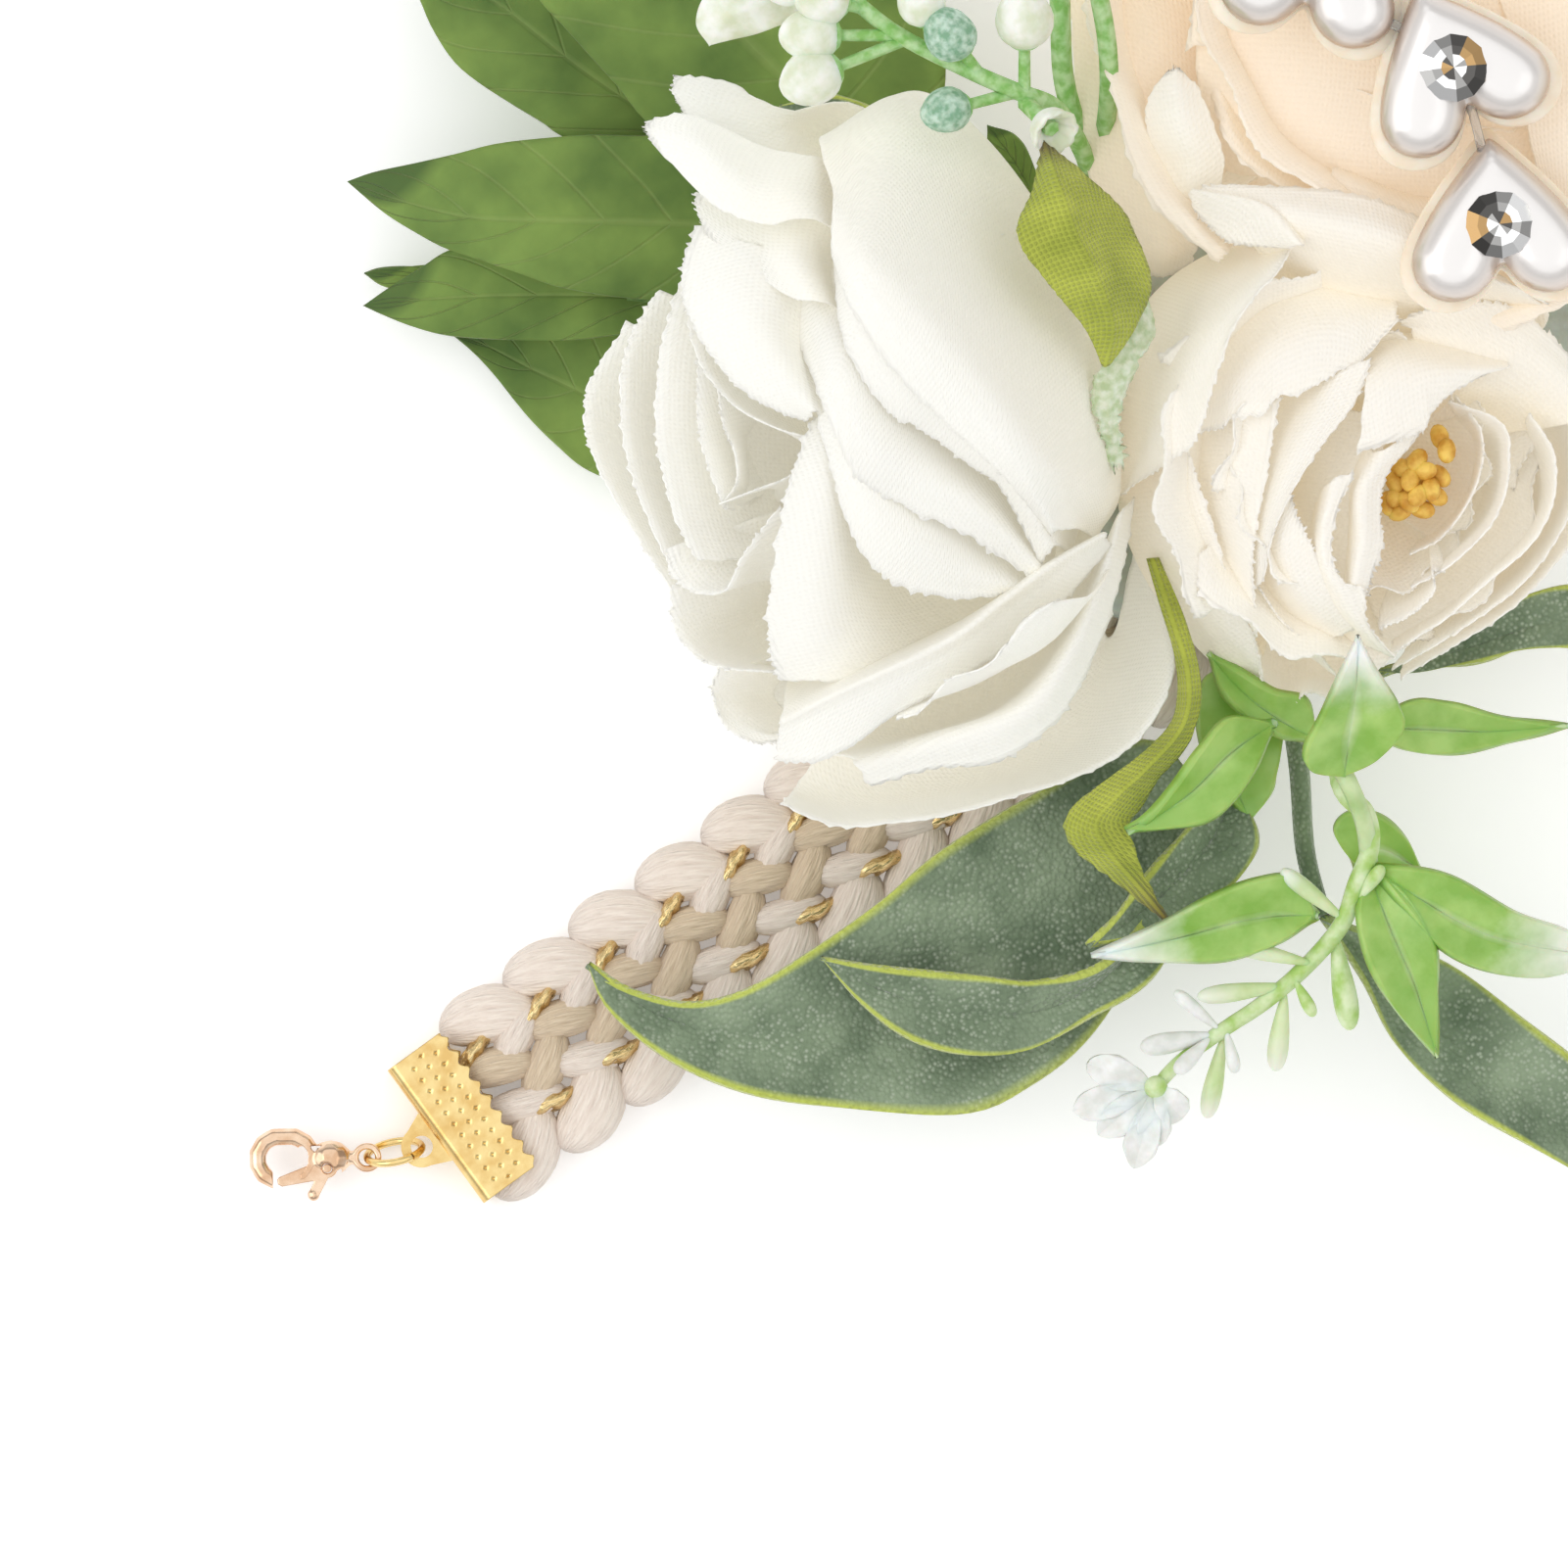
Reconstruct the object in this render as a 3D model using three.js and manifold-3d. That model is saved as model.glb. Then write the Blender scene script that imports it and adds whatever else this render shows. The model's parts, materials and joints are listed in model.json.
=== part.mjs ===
// A wrist corsage: four fabric roses with leaves, berries and a strand of heart pearls, glued on a felt
// pad over a flat braided strap. The strap has a lobster clasp at -X and an extender chain at +X.
// The origin is on the underside of the felt pad, +Z points away from the wrist, lengths are millimetres.
import * as THREE from "three";
import { mergeVertices } from "three/addons/utils/BufferGeometryUtils.js";
import { ParametricGeometry } from "three/addons/geometries/ParametricGeometry.js";
import Module from "manifold-3d";

// Driving dimensions
const clearance = 0.3; // between pieces that touch or nest
const runningGap = 0.06; // round the pin of the clasp
const overrun = 2; // how far a cut runs past what it cuts
const sliver = 0.05;

const padLength = 72;
const padWidth = 46;
const padThickness = 1.4;
const padCentreX = 8;
const padCentreY = 9;

const strapWidth = 14.5;
const strapThickness = 4.4;
const claspSideReach = 88;
const chainSideReach = 94;
const wingSegments = 3;
const lobeLength = 6.2;
const lobeDepth = 1.3;

const glueMargin = 3;
const glueOverStrap = 4.2;
const glueRound = 1.2;

const crimpWidth = 12.6;
const crimpDepth = 4.8;
const crimpHeight = 5.2;
const crimpWall = 0.5;
const crimpBend = 0.9;
const toothPitch = 1.4;
const toothRadius = 0.5;
const tabLength = 2.9;
const tabThickness = 0.6;
const tabHoleRadius = 0.85;
const tabHoleReach = 1.35;

const ringRadius = 2.15;
const ringWire = 0.3;
const ringTilt = 20;
const ringYaw = 25;

const claspYaw = 10;
const eyeRadius = 1.15;
const eyeHoleRadius = 0.65;
const eyeThickness = 1.1;
const claspBodyLength = 3.3;
const claspBodyWidth = 2.8;
const claspBodyThickness = 2.4;
const hookLength = 5.64;
const hookWidth = 4.9;
const hookWire = 0.72;
const pinRadius = 0.35;
const leverThickness = 0.6;
const leverBoss = 0.78;
const leverTip = 0.42;
const knobRadius = 0.5;
const springWire = 0.1;

const linkLength = 4.6;
const linkWidth = 3.2;
const linkWire = 0.35;
const linkCount = 4;
const dropRadius = 2;
const dropLength = 5.5;

const creamRoseRadius = 18.5;
const creamRoseHeight = 25;
const whiteRoseRadius = 25;
const whiteRoseHeight = 33;
const champagneRoseRadius = 27;
const champagneRoseHeight = 24;
const secondRoseRadius = 25;
const secondRoseHeight = 31;
const uprightLift = 1.6;
const whiteRoseLift = 5.5;
const secondRoseLift = 5;
const petalSkew = 0.9; // how far one side of a petal stands outside its other side
const stemRadius = 1.5;
const stemDepth = 3.3;
const spigotRadius = 1.2;
const discThickness = 0.9;
const petalThickness = 0.7;

const heartWidth = 13.4;
const heartThickness = 4.6;
const threadRadius = 0.35;
const rhinestoneRadius = 2.55;
const rhinestoneHeight = 1.7;

const part = new THREE.Group();
const turn = THREE.MathUtils.degToRad;

// Materials
const material = (color, roughness, metalness = 0) =>
  new THREE.MeshStandardMaterial({ color, roughness, metalness });
const whiteSatin = () => material("#ebeae4", 0.7);
const creamSatin = () => material("#f0e9dc", 0.7);
const champagneSatin = () => material("#eadcc6", 0.65);
const cottonBraid = () => material("#e6d6c8", 0.95);
const goldPlate = () => material("#e3bd72", 0.25, 1);
const roseGold = () => material("#dcae90", 0.2, 1);

// Solids
const wasm = await Module();
wasm.setup();

// A closed surface as a solid, with its shared points merged and its faces turned outwards.
function solid(geometry) {
  const bare = geometry.index ? geometry.toNonIndexed() : geometry.clone();
  bare.deleteAttribute("normal");
  bare.deleteAttribute("uv");
  const merged = mergeVertices(bare);
  const at = merged.attributes.position;
  const corners = [0, 1, 2].map(() => new THREE.Vector3());
  const kept = [];
  let volume = 0;
  for (let i = 0; i < merged.index.count; i += 3) {
    const face = [0, 1, 2].map((k) => merged.index.getX(i + k));
    if (new Set(face).size < face.length) continue;
    face.forEach((v, k) => corners[k].fromBufferAttribute(at, v));
    volume += corners[0].dot(corners[1].clone().cross(corners[2]));
    kept.push(face);
  }
  if (volume < 0) kept.forEach((face) => face.reverse());
  const triVerts = new Uint32Array(kept.flat());
  return new wasm.Manifold(new wasm.Mesh({ numProp: 3, vertProperties: at.array, triVerts }));
}

function surface(body) {
  const mesh = body.getMesh();
  const geometry = new THREE.BufferGeometry();
  geometry.setAttribute("position", new THREE.BufferAttribute(new Float32Array(mesh.vertProperties), 3));
  geometry.setIndex(new THREE.BufferAttribute(new Uint32Array(mesh.triVerts), 1));
  geometry.computeVertexNormals();
  return geometry;
}

// Edges shorter than sliver, which joins and cuts leave behind, are drawn together.
function add(name, body, look, parent = part) {
  const mesh = new THREE.Mesh(surface(body.simplify(sliver)), look);
  mesh.name = name;
  parent.add(mesh);
  return mesh;
}

const joined = (bodies) => bodies.reduce((all, body) => all.add(body));
const largest = (body) =>
  body.decompose().reduce((best, one) => (one.volume() > best.volume() ? one : best));

// A closed skin through rings of points: pointAt(angle, share) goes round each ring and along the body.
function skin(pointAt, sides, steps, closedRound = false) {
  const geometry = new ParametricGeometry(
    (u, v, target) => {
      const side = Math.round(u * sides) % sides;
      const step = closedRound ? Math.round(v * steps) % steps : Math.round(v * steps);
      target.copy(pointAt((2 * Math.PI * side) / sides, step / steps, step));
    },
    sides,
    steps,
  );
  return solid(geometry);
}

function turned(points, segments) {
  const geometry = new THREE.LatheGeometry(points.map(([r, z]) => new THREE.Vector2(r, z)), segments);
  return geometry.rotateX(Math.PI / 2);
}

function rod(points, radius, sides, steps) {
  const section = new THREE.Shape();
  for (let i = 0; i < sides; i++) {
    const angle = (2 * Math.PI * i) / sides;
    const method = i === 0 ? "moveTo" : "lineTo";
    section[method](radius * Math.cos(angle), radius * Math.sin(angle));
  }
  section.closePath();
  const extrudePath = new THREE.CatmullRomCurve3(points);
  return solid(new THREE.ExtrudeGeometry(section, { steps, extrudePath }));
}

function ellipsePlate(radiusX, radiusY, height, round = 0) {
  const outline = new THREE.Shape().absellipse(0, 0, radiusX - round, radiusY - round, 0, 2 * Math.PI);
  const bevel = { bevelEnabled: round > 0, bevelThickness: round, bevelSize: round, bevelSegments: 1 };
  const flat = { depth: height - 2 * round, curveSegments: 12 };
  const geometry = new THREE.ExtrudeGeometry(outline, { ...flat, ...bevel });
  return geometry.translate(0, 0, round);
}

const cylinder = (radius, height, sides) =>
  new THREE.CylinderGeometry(radius, radius, height, sides).rotateX(Math.PI / 2);

// Felt pad on the wrist side
const padPlate = ellipsePlate(padLength / 2, padWidth / 2, padThickness);
const pad = add("wrist_pad", solid(padPlate), material("#efe9dc", 1));
pad.position.set(padCentreX, padCentreY, 0);

// Braided strap: lobed edges, a flat middle piece on the pad and two wings of hinged segments
const strapMiddleBase = padThickness + clearance;
const strapTop = strapMiddleBase + strapThickness;
const wingStart = padLength / 2 + clearance;
const claspHinge = padCentreX - wingStart;
const chainHinge = padCentreX + wingStart;

const braidSides = 8;
const braidPower = 0.5;
const stationsPerLobe = 2;
const flatShare = Math.cos(Math.PI / braidSides) ** braidPower;
const signedPower = (value) => Math.sign(value) * Math.abs(value) ** braidPower;

// stations: where along X the section stands, and its half width and half thickness there
function braid(stations, centreZ) {
  const ends = [{ ...stations[0], closed: true }, ...stations, { ...stations.at(-1), closed: true }];
  return skin(
    (angle, share, step) => {
      const { x, halfWidth, halfThickness, closed } = ends[step];
      if (closed) return new THREE.Vector3(x, 0, centreZ);
      const side = angle + Math.PI / braidSides;
      const y = halfWidth * signedPower(Math.cos(side));
      const z = (halfThickness * signedPower(Math.sin(side))) / flatShare;
      return new THREE.Vector3(x, y, centreZ + z);
    },
    braidSides,
    ends.length - 1,
  );
}

function lobedStations(from, to) {
  const count = Math.max(2, Math.round((Math.abs(to - from) / lobeLength) * stationsPerLobe));
  return Array.from({ length: count + 1 }, (_, i) => {
    const x = from + ((to - from) * i) / count;
    const dip = 1 - Math.abs(Math.sin((Math.PI * x) / lobeLength));
    return { x, halfWidth: strapWidth / 2 - lobeDepth * dip, halfThickness: strapThickness / 2 };
  });
}

const braidTo = (name, from, to, base) =>
  add(name, braid(lobedStations(from, to), base + strapThickness / 2), cottonBraid());

add(
  "strap_middle",
  braid(lobedStations(claspHinge, chainHinge), strapMiddleBase + strapThickness / 2),
  cottonBraid(),
);

// The last segment of a wing narrows into the tongue that the crimp holds.
const crimpCentreZ = crimpHeight / 2;
const tongueThickness = crimpHeight - 2 * crimpWall - 2 * clearance;
const tongueLength = crimpDepth - crimpWall - clearance;

function endBraid(from, to, side) {
  const mouth = to - side * (crimpDepth + clearance);
  const body = braid(lobedStations(from, mouth), strapThickness / 2);
  const half = { halfWidth: strapWidth / 2 - lobeDepth / 2, halfThickness: tongueThickness / 2 };
  const inner = mouth + side * (clearance + tongueLength);
  const tongue = braid([{ x: mouth - side * lobeDepth, ...half }, { x: inner, ...half }], crimpCentreZ);
  return body.add(tongue);
}

function wing(prefix, start, end, side) {
  const length = (end - start) / wingSegments;
  for (let i = 0; i < wingSegments; i++) {
    const from = start + length * i + side * (clearance / 2) * Math.min(1, i) + side * clearance * (i === 0);
    const to = start + length * (i + 1) - side * (clearance / 2);
    const name = `${prefix}_${i + 1}`;
    if (i < wingSegments - 1) braidTo(name, from, to, 0);
    else add(name, endBraid(from, end, side), cottonBraid());
  }
}
wing("strap_clasp_side", claspHinge, -claspSideReach, -1);
wing("strap_chain_side", chainHinge, chainSideReach, 1);

// Ribbon crimps: a folded plate with toothed lips and a pierced tab, mouth at 0 and back at +X
function crimp() {
  const half = crimpHeight / 2;
  const inner = half - crimpWall;
  const innerBend = crimpBend - crimpWall;
  const fold = new THREE.Shape();
  fold.moveTo(0, half);
  fold.lineTo(crimpDepth - crimpBend, half);
  fold.absarc(crimpDepth - crimpBend, half - crimpBend, crimpBend, Math.PI / 2, 0, true);
  fold.absarc(crimpDepth - crimpBend, crimpBend - half, crimpBend, 0, -Math.PI / 2, true);
  fold.lineTo(0, -half);
  fold.lineTo(0, -inner);
  fold.lineTo(crimpDepth - crimpBend, -inner);
  fold.absarc(crimpDepth - crimpBend, crimpBend - half, innerBend, -Math.PI / 2, 0, false);
  fold.absarc(crimpDepth - crimpBend, half - crimpBend, innerBend, 0, Math.PI / 2, false);
  fold.lineTo(0, inner);
  fold.closePath();
  const plate = new THREE.ExtrudeGeometry(fold, { depth: crimpWidth, bevelEnabled: false, curveSegments: 3 });
  plate.rotateX(Math.PI / 2).translate(0, crimpWidth / 2, 0);
  const teeth = Math.round(crimpWidth / toothPitch);
  let body = solid(plate);
  for (let i = 0; i < teeth; i++) {
    const notch = cylinder(toothRadius, crimpHeight + overrun, 3);
    notch.translate(0, (i - (teeth - 1) / 2) * (crimpWidth / teeth), 0);
    body = body.subtract(solid(notch));
  }
  const tab = new THREE.Shape();
  const tabRoot = crimpDepth - crimpWall / 2;
  const tabEnd = crimpDepth + tabLength;
  const tabRound = tabLength - tabHoleReach;
  tab.moveTo(tabRoot, -tabLength);
  tab.lineTo(tabEnd - tabRound, -tabRound);
  tab.absarc(tabEnd - tabRound, 0, tabRound, -Math.PI / 2, Math.PI / 2, false);
  tab.lineTo(tabRoot, tabLength);
  tab.closePath();
  const hole = new THREE.Path().absarc(tabEnd - tabRound, 0, tabHoleRadius, 0, 2 * Math.PI);
  tab.holes.push(hole);
  const ear = new THREE.ExtrudeGeometry(tab, { depth: tabThickness, bevelEnabled: false, curveSegments: 8 });
  return body.add(solid(ear.translate(0, 0, -tabThickness / 2)));
}

// A closed loop of wire in the XY plane, long along X
function wireLoop(length, width, wire, sides, steps) {
  const straight = (length - width) / 2;
  const radius = width / 2 - wire;
  return skin(
    (angle, share) => {
      const round = 2 * Math.PI * share + Math.PI / steps;
      const out = new THREE.Vector3(Math.cos(round), Math.sin(round), 0);
      const centre = out.clone().multiplyScalar(radius);
      centre.x += straight * Math.sign(out.x);
      centre.addScaledVector(out, wire * Math.cos(angle));
      centre.z += wire * Math.sin(angle);
      return centre;
    },
    sides,
    steps,
    true,
  );
}

const claspEnd = new THREE.Group();
claspEnd.position.set(-claspSideReach, 0, crimpCentreZ);
claspEnd.rotation.z = Math.PI;
const chainEnd = new THREE.Group();
chainEnd.position.set(chainSideReach, 0, crimpCentreZ);
part.add(claspEnd, chainEnd);

for (const [name, parent] of [["clasp_end_crimp", claspEnd], ["chain_end_crimp", chainEnd]]) {
  add(name, crimp(), goldPlate(), parent).position.x = -crimpDepth;
}

// Jump rings: each stands on edge through the hole of its tab
function jumpRing(name, parent, yaw) {
  const holder = new THREE.Group();
  holder.position.x = tabHoleReach;
  holder.rotation.z = turn(yaw);
  parent.add(holder);
  const ring = add(name, solid(new THREE.TorusGeometry(ringRadius, ringWire, 6, 14)), goldPlate(), holder);
  ring.position.x = ringRadius;
  ring.rotation.x = turn(90 - ringTilt);
  return holder;
}
const claspRing = jumpRing("clasp_jump_ring", claspEnd, -ringYaw);
const chainRing = jumpRing("chain_jump_ring", chainEnd, 0);

// Lobster clasp: a cast body with an eye, a hook with a mouth, and a sprung lever that shuts the mouth
const hookCentreX = eyeRadius + claspBodyLength + hookLength / 2 - 1.2 * hookWire - runningGap;
const hookInnerWidth = hookWidth / 2 - 2 * hookWire;
const slotWidth = leverThickness + 2 * clearance;
const pivotX = eyeRadius + claspBodyLength * 0.58;
const pivotY = leverBoss;
const slotFloor = -leverBoss * 1.2;
const slotStart = pivotX - leverBoss - clearance;
const mouthStart = hookCentreX - hookLength * 0.2;
const mouthEnd = hookCentreX + hookLength * 0.16;

const boxBetween = (x0, x1, y0, y1, z0, z1) =>
  new THREE.BoxGeometry(x1 - x0, y1 - y0, z1 - z0).translate((x0 + x1) / 2, (y0 + y1) / 2, (z0 + z1) / 2);

function claspBody() {
  const trunk = new THREE.SphereGeometry(1, 10, 6);
  trunk.scale(claspBodyLength / 2, claspBodyWidth / 2, claspBodyThickness / 2);
  trunk.translate(eyeRadius + claspBodyLength / 2, 0, 0);
  const hook = wireLoop(hookLength, hookWidth, hookWire, 7, 12).translate([hookCentreX, 0, 0]);
  const neck = new THREE.CylinderGeometry(eyeThickness / 2, eyeThickness / 2, eyeRadius + eyeHoleRadius, 8);
  neck.rotateZ(Math.PI / 2).translate(eyeRadius + eyeHoleRadius / 2, 0, 0);
  const eye = solid(cylinder(eyeRadius, eyeThickness, 16));
  let body = joined([solid(trunk), hook, solid(neck), eye]);
  const half = claspBodyThickness / 2 + overrun;
  const cuts = [
    cylinder(eyeHoleRadius, eyeThickness + overrun, 12),
    cylinder(pinRadius + runningGap, claspBodyThickness + overrun, 10).translate(pivotX, pivotY, 0),
    boxBetween(mouthStart, mouthEnd, 0, hookWidth, -half, half),
    boxBetween(slotStart, mouthStart, slotFloor, hookWidth, -slotWidth / 2, slotWidth / 2),
  ];
  for (const cut of cuts) body = body.subtract(solid(cut));
  return largest(body);
}

// A flat bar with round ends from one point of the XY plane to another
function bar(from, to, radiusFrom, radiusTo) {
  const along = to.clone().sub(from);
  const side = Math.acos((radiusFrom - radiusTo) / along.length());
  const heading = along.angle();
  const outline = new THREE.Shape();
  outline.absarc(from.x, from.y, radiusFrom, heading + side, heading - side + 2 * Math.PI, false);
  outline.absarc(to.x, to.y, radiusTo, heading - side, heading + side, false);
  outline.closePath();
  const geometry = new THREE.ExtrudeGeometry(outline, {
    depth: leverThickness,
    bevelEnabled: false,
    curveSegments: 5,
  });
  return solid(geometry.translate(0, 0, -leverThickness / 2));
}

// The lever's own origin is its pivot.
function claspLever() {
  const pivot = new THREE.Vector2(0, 0);
  const tip = new THREE.Vector2(mouthEnd - pivotX - leverTip - clearance, hookWidth / 2 - hookWire - pivotY);
  const knob = new THREE.Vector2(leverBoss * 1.4, leverBoss * 2.6);
  const arm = bar(pivot, tip, leverBoss, leverTip);
  const thumb = bar(pivot, knob, leverTip, leverTip);
  const ball = new THREE.SphereGeometry(knobRadius, 8, 6).translate(knob.x, knob.y, 0);
  const hole = cylinder(pinRadius + runningGap, leverThickness + overrun, 10);
  return joined([arm, thumb, solid(ball)]).subtract(solid(hole));
}

const clasp = new THREE.Group();
clasp.position.x = 2 * ringRadius;
clasp.rotation.z = turn(-claspYaw);
claspRing.add(clasp);
add("clasp_body", claspBody(), roseGold(), clasp);
add("clasp_trigger", claspLever(), roseGold(), clasp).position.set(pivotX, pivotY, 0);
const pinLength = claspBodyThickness * Math.sqrt(1 - (pivotY / (claspBodyWidth / 2)) ** 2);
const pin = add("clasp_trigger_pin", solid(cylinder(pinRadius, pinLength, 10)), roseGold(), clasp);
pin.position.set(pivotX, pivotY, 0);

const springFoot = slotFloor + springWire + runningGap;
const springCrown = pivotY - leverBoss - springWire - clearance / 2;
const springBow = [-1, 0, 1].map(
  (side) => new THREE.Vector3(pivotX + side * leverBoss, side === 0 ? springCrown : springFoot, 0),
);
add("clasp_trigger_spring", rod(springBow, springWire, 6, 8), material("#b9b9b4", 0.3, 1), clasp);

// Extender chain: oval links, lying and standing in turn, and a drop at the end
const linkPitch = linkLength - 4 * linkWire - clearance;
const firstLinkX = 2 * ringRadius - ringWire - clearance + linkLength / 2 - 2 * linkWire;
for (let i = 0; i < linkCount; i++) {
  const loop = wireLoop(linkLength, linkWidth, linkWire, 5, 10);
  const link = add(`chain_link_${i + 1}`, loop, goldPlate(), chainRing);
  link.position.x = firstLinkX + linkPitch * i;
  link.rotation.x = (Math.PI / 2) * (i % 2);
}
const dropEye = wireLoop(linkWidth, linkWidth, linkWire, 5, 10);
const dropProfileShare = [[0, 0], [0.3, 0.05], [0.62, 0.3], [1, 0.66], [0.86, 0.88], [0.5, 0.98], [0, 1]];
const dropBody = turned(dropProfileShare.map(([r, z]) => [r * dropRadius, z * dropLength]), 10);
dropBody.rotateY(Math.PI / 2).translate(linkWidth / 2 - linkWire, 0, 0);
const lastLinkEnd = firstLinkX + linkPitch * (linkCount - 1) + linkLength / 2;
const drop = add("chain_end_drop", dropEye.add(solid(dropBody)), goldPlate(), chainRing);
drop.position.x = lastLinkEnd - 2 * linkWire - clearance - 2 * linkWire + linkWidth / 2;

// Hot glue: it fills the space round the strap, holds it on the pad and takes every stem
const glueBase = padThickness + clearance;
const glueTop = strapTop + clearance + glueOverStrap;
const glueMid = (glueBase + glueTop) / 2;
const glueCentre = new THREE.Vector3(padCentreX, padCentreY, 0);
const glueRadiusX = padLength / 2 - glueMargin;
const glueRadiusY = padWidth / 2 - glueMargin;

// Roses: base is where the calyx starts, leans away from the others, and opens wider towards openTo
const roses = {};
const padPlace = { radius: padWidth / 2, frame: { position: glueCentre } };
function layRose(name, place) {
  const { bearing, apartShare, radius, lift, lean, leanTo, openTo } = place;
  const centre = place.from ? roses[place.from] : padPlace;
  const reach = apartShare * (centre.radius + radius);
  const frame = new THREE.Group();
  frame.position.set(reach * Math.cos(turn(bearing)), reach * Math.sin(turn(bearing)), glueTop + lift);
  frame.position.add(new THREE.Vector3(centre.frame.position.x, centre.frame.position.y, 0));
  const axis = new THREE.Vector3(-Math.sin(turn(leanTo)), Math.cos(turn(leanTo)), 0);
  frame.quaternion.setFromAxisAngle(axis, turn(lean));
  frame.updateMatrixWorld(true);
  part.add(frame);
  roses[name] = { ...place, name, openTo: turn(openTo), frame };
}
layRose("cream_rose", {
  bearing: 205.5, apartShare: 0.3, radius: creamRoseRadius, height: creamRoseHeight, lift: uprightLift,
  lean: 15, leanTo: 296, openShare: 0.1, openTo: 120,
});
layRose("white_rose", {
  from: "cream_rose", bearing: 145.6, apartShare: 0.37, radius: whiteRoseRadius, height: whiteRoseHeight,
  lift: whiteRoseLift, lean: 46, leanTo: 144, openShare: 0.2, openTo: 144, hooded: true,
});
layRose("champagne_rose", {
  bearing: 43, apartShare: 0.4225, radius: champagneRoseRadius, height: champagneRoseHeight,
  lift: uprightLift, lean: 10, leanTo: 45, openShare: 0, openTo: 0,
});
layRose("second_white_rose", {
  bearing: -19.4, apartShare: 0.648, radius: secondRoseRadius, height: secondRoseHeight, lift: secondRoseLift,
  lean: 42, leanTo: -15, openShare: 0.15, openTo: -20,
});

const calyxRadius = 5;
const calyxHeight = 4.2;
const discRadius = 5.4;
const discStep = 1;
const whorlZ = (layer) => calyxHeight + clearance + layer * (discThickness + clearance);

// Shares of the rose's radius and height that each layer's cup passes through, and of the petals' skew
const cupShares = [
  {
    name: "outer_petals", count: 5, spread: 50, skew: 1,
    cup: [[0.52, 0.06], [0.84, 0.32], [0.95, 0.56], [1, 0.62]],
  },
  {
    name: "middle_petals", count: 5, spread: 50, skew: 0.8,
    cup: [[0.38, 0.12], [0.6, 0.42], [0.7, 0.72], [0.76, 0.8]],
  },
  {
    name: "inner_petals", count: 4, spread: 58, skew: 0.6,
    cup: [[0.27, 0.2], [0.4, 0.52], [0.45, 0.82], [0.47, 0.9]],
  },
];
// A hooded rose's upper outer petal passes through these instead and bends over the mouth.
const hoodShares = [[0.52, 0.06], [0.84, 0.32], [0.93, 0.56], [0.78, 0.84], [0.42, 1.04], [0.1, 1.08]];

function cupCurve(rose, layer, cup = cupShares[layer].cup) {
  const start = whorlZ(layer) + discThickness / 2;
  const disc = discRadius - layer * discStep;
  const points = cup.map(
    ([r, z]) => new THREE.Vector2(r * rose.radius, start + z * (rose.height - start)),
  );
  const rootReach = [spigotRadius + clearance + discThickness, disc + petalThickness];
  const root = rootReach.map((r) => new THREE.Vector2(r, start));
  return new THREE.SplineCurve([...root, ...points]);
}

// A point of a cup, off its surface by outward, on the side that azimuth faces
function cupPoint(rose, curve, share, azimuth, outward, leaning = 0) {
  const at = curve.getPoint(share);
  const tangent = curve.getTangent(share);
  const open = 1 + rose.openShare * share ** 2 * Math.cos(azimuth - rose.openTo);
  const r = (at.x + tangent.y * outward + leaning) * open;
  return new THREE.Vector3(r * Math.cos(azimuth), r * Math.sin(azimuth), at.y - tangent.x * outward);
}

const petalSides = 6;
const petalSteps = 5;
const hoodSteps = 2 * petalSteps;
const petalPeak = 1.6;
const petalBlunt = 0.55;
const petalWidth = (share) => Math.abs(Math.sin(Math.PI * share ** petalPeak)) ** petalBlunt;

function petal(rose, curve, azimuth, spread, skew, steps) {
  return skin(
    (angle, share) => {
      const along = Math.sin((share * Math.PI) / 2);
      const width = petalWidth(along);
      const across = width * Math.cos(angle);
      const thick = (width * Math.sin(angle) * petalThickness) / 2;
      return cupPoint(rose, curve, along, azimuth + across * spread, thick, skew * across);
    },
    petalSides,
    steps,
  );
}

function petalLayer(rose, layer) {
  const { count, spread, skew } = cupShares[layer];
  const curve = cupCurve(rose, layer);
  const hooded = rose.hooded && layer === 0;
  const firstTurn = hooded ? 1 / 2 : layer / 2;
  const z = whorlZ(layer);
  const bore = spigotRadius + clearance;
  const rim = discRadius - layer * discStep;
  const ring = [[bore, z], [rim, z], [rim, z + discThickness], [bore, z + discThickness], [bore, z]];
  const petals = Array.from({ length: count }, (_, i) => {
    const azimuth = (2 * Math.PI * (i + firstTurn)) / count + rose.openTo;
    const isHood = hooded && i === (count - 1) / 2;
    const cup = isHood ? cupCurve(rose, layer, hoodShares) : curve;
    return petal(rose, cup, azimuth, turn(spread), skew * petalSkew, isHood ? hoodSteps : petalSteps);
  });
  return joined([solid(turned(ring, 8)), ...petals]);
}

// The space that a rose's outer petals fill, with room to spare, closed over the top
function roseBulk(rose) {
  const curve = cupCurve(rose, 0);
  const margin = 2 * clearance + petalThickness + cupShares[0].skew * petalSkew;
  const rim = 0.8;
  const sides = 18;
  const facet = 1 / Math.cos(Math.PI / sides);
  const bulk = skin(
    (angle, share) => {
      if (share === 0) return new THREE.Vector3(0, 0, calyxHeight);
      if (share <= rim) return cupPoint(rose, curve, share / rim, angle, margin);
      const climb = (Math.PI / 2) * ((share - rim) / (1 - rim));
      const edge = cupPoint(rose, curve, 1, angle, margin);
      const dome = (rose.height + margin - edge.z) * Math.sin(climb);
      return new THREE.Vector3(edge.x * Math.cos(climb), edge.y * Math.cos(climb), edge.z + dome);
    },
    sides,
    15,
  );
  return bulk.scale([facet, facet, 1]);
}

// The stem ends at one depth in the glue, whatever its lean.
const stemLength = (rose) =>
  (rose.lift + stemDepth - stemRadius * Math.sin(turn(rose.lean))) / Math.cos(turn(rose.lean));

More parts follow.
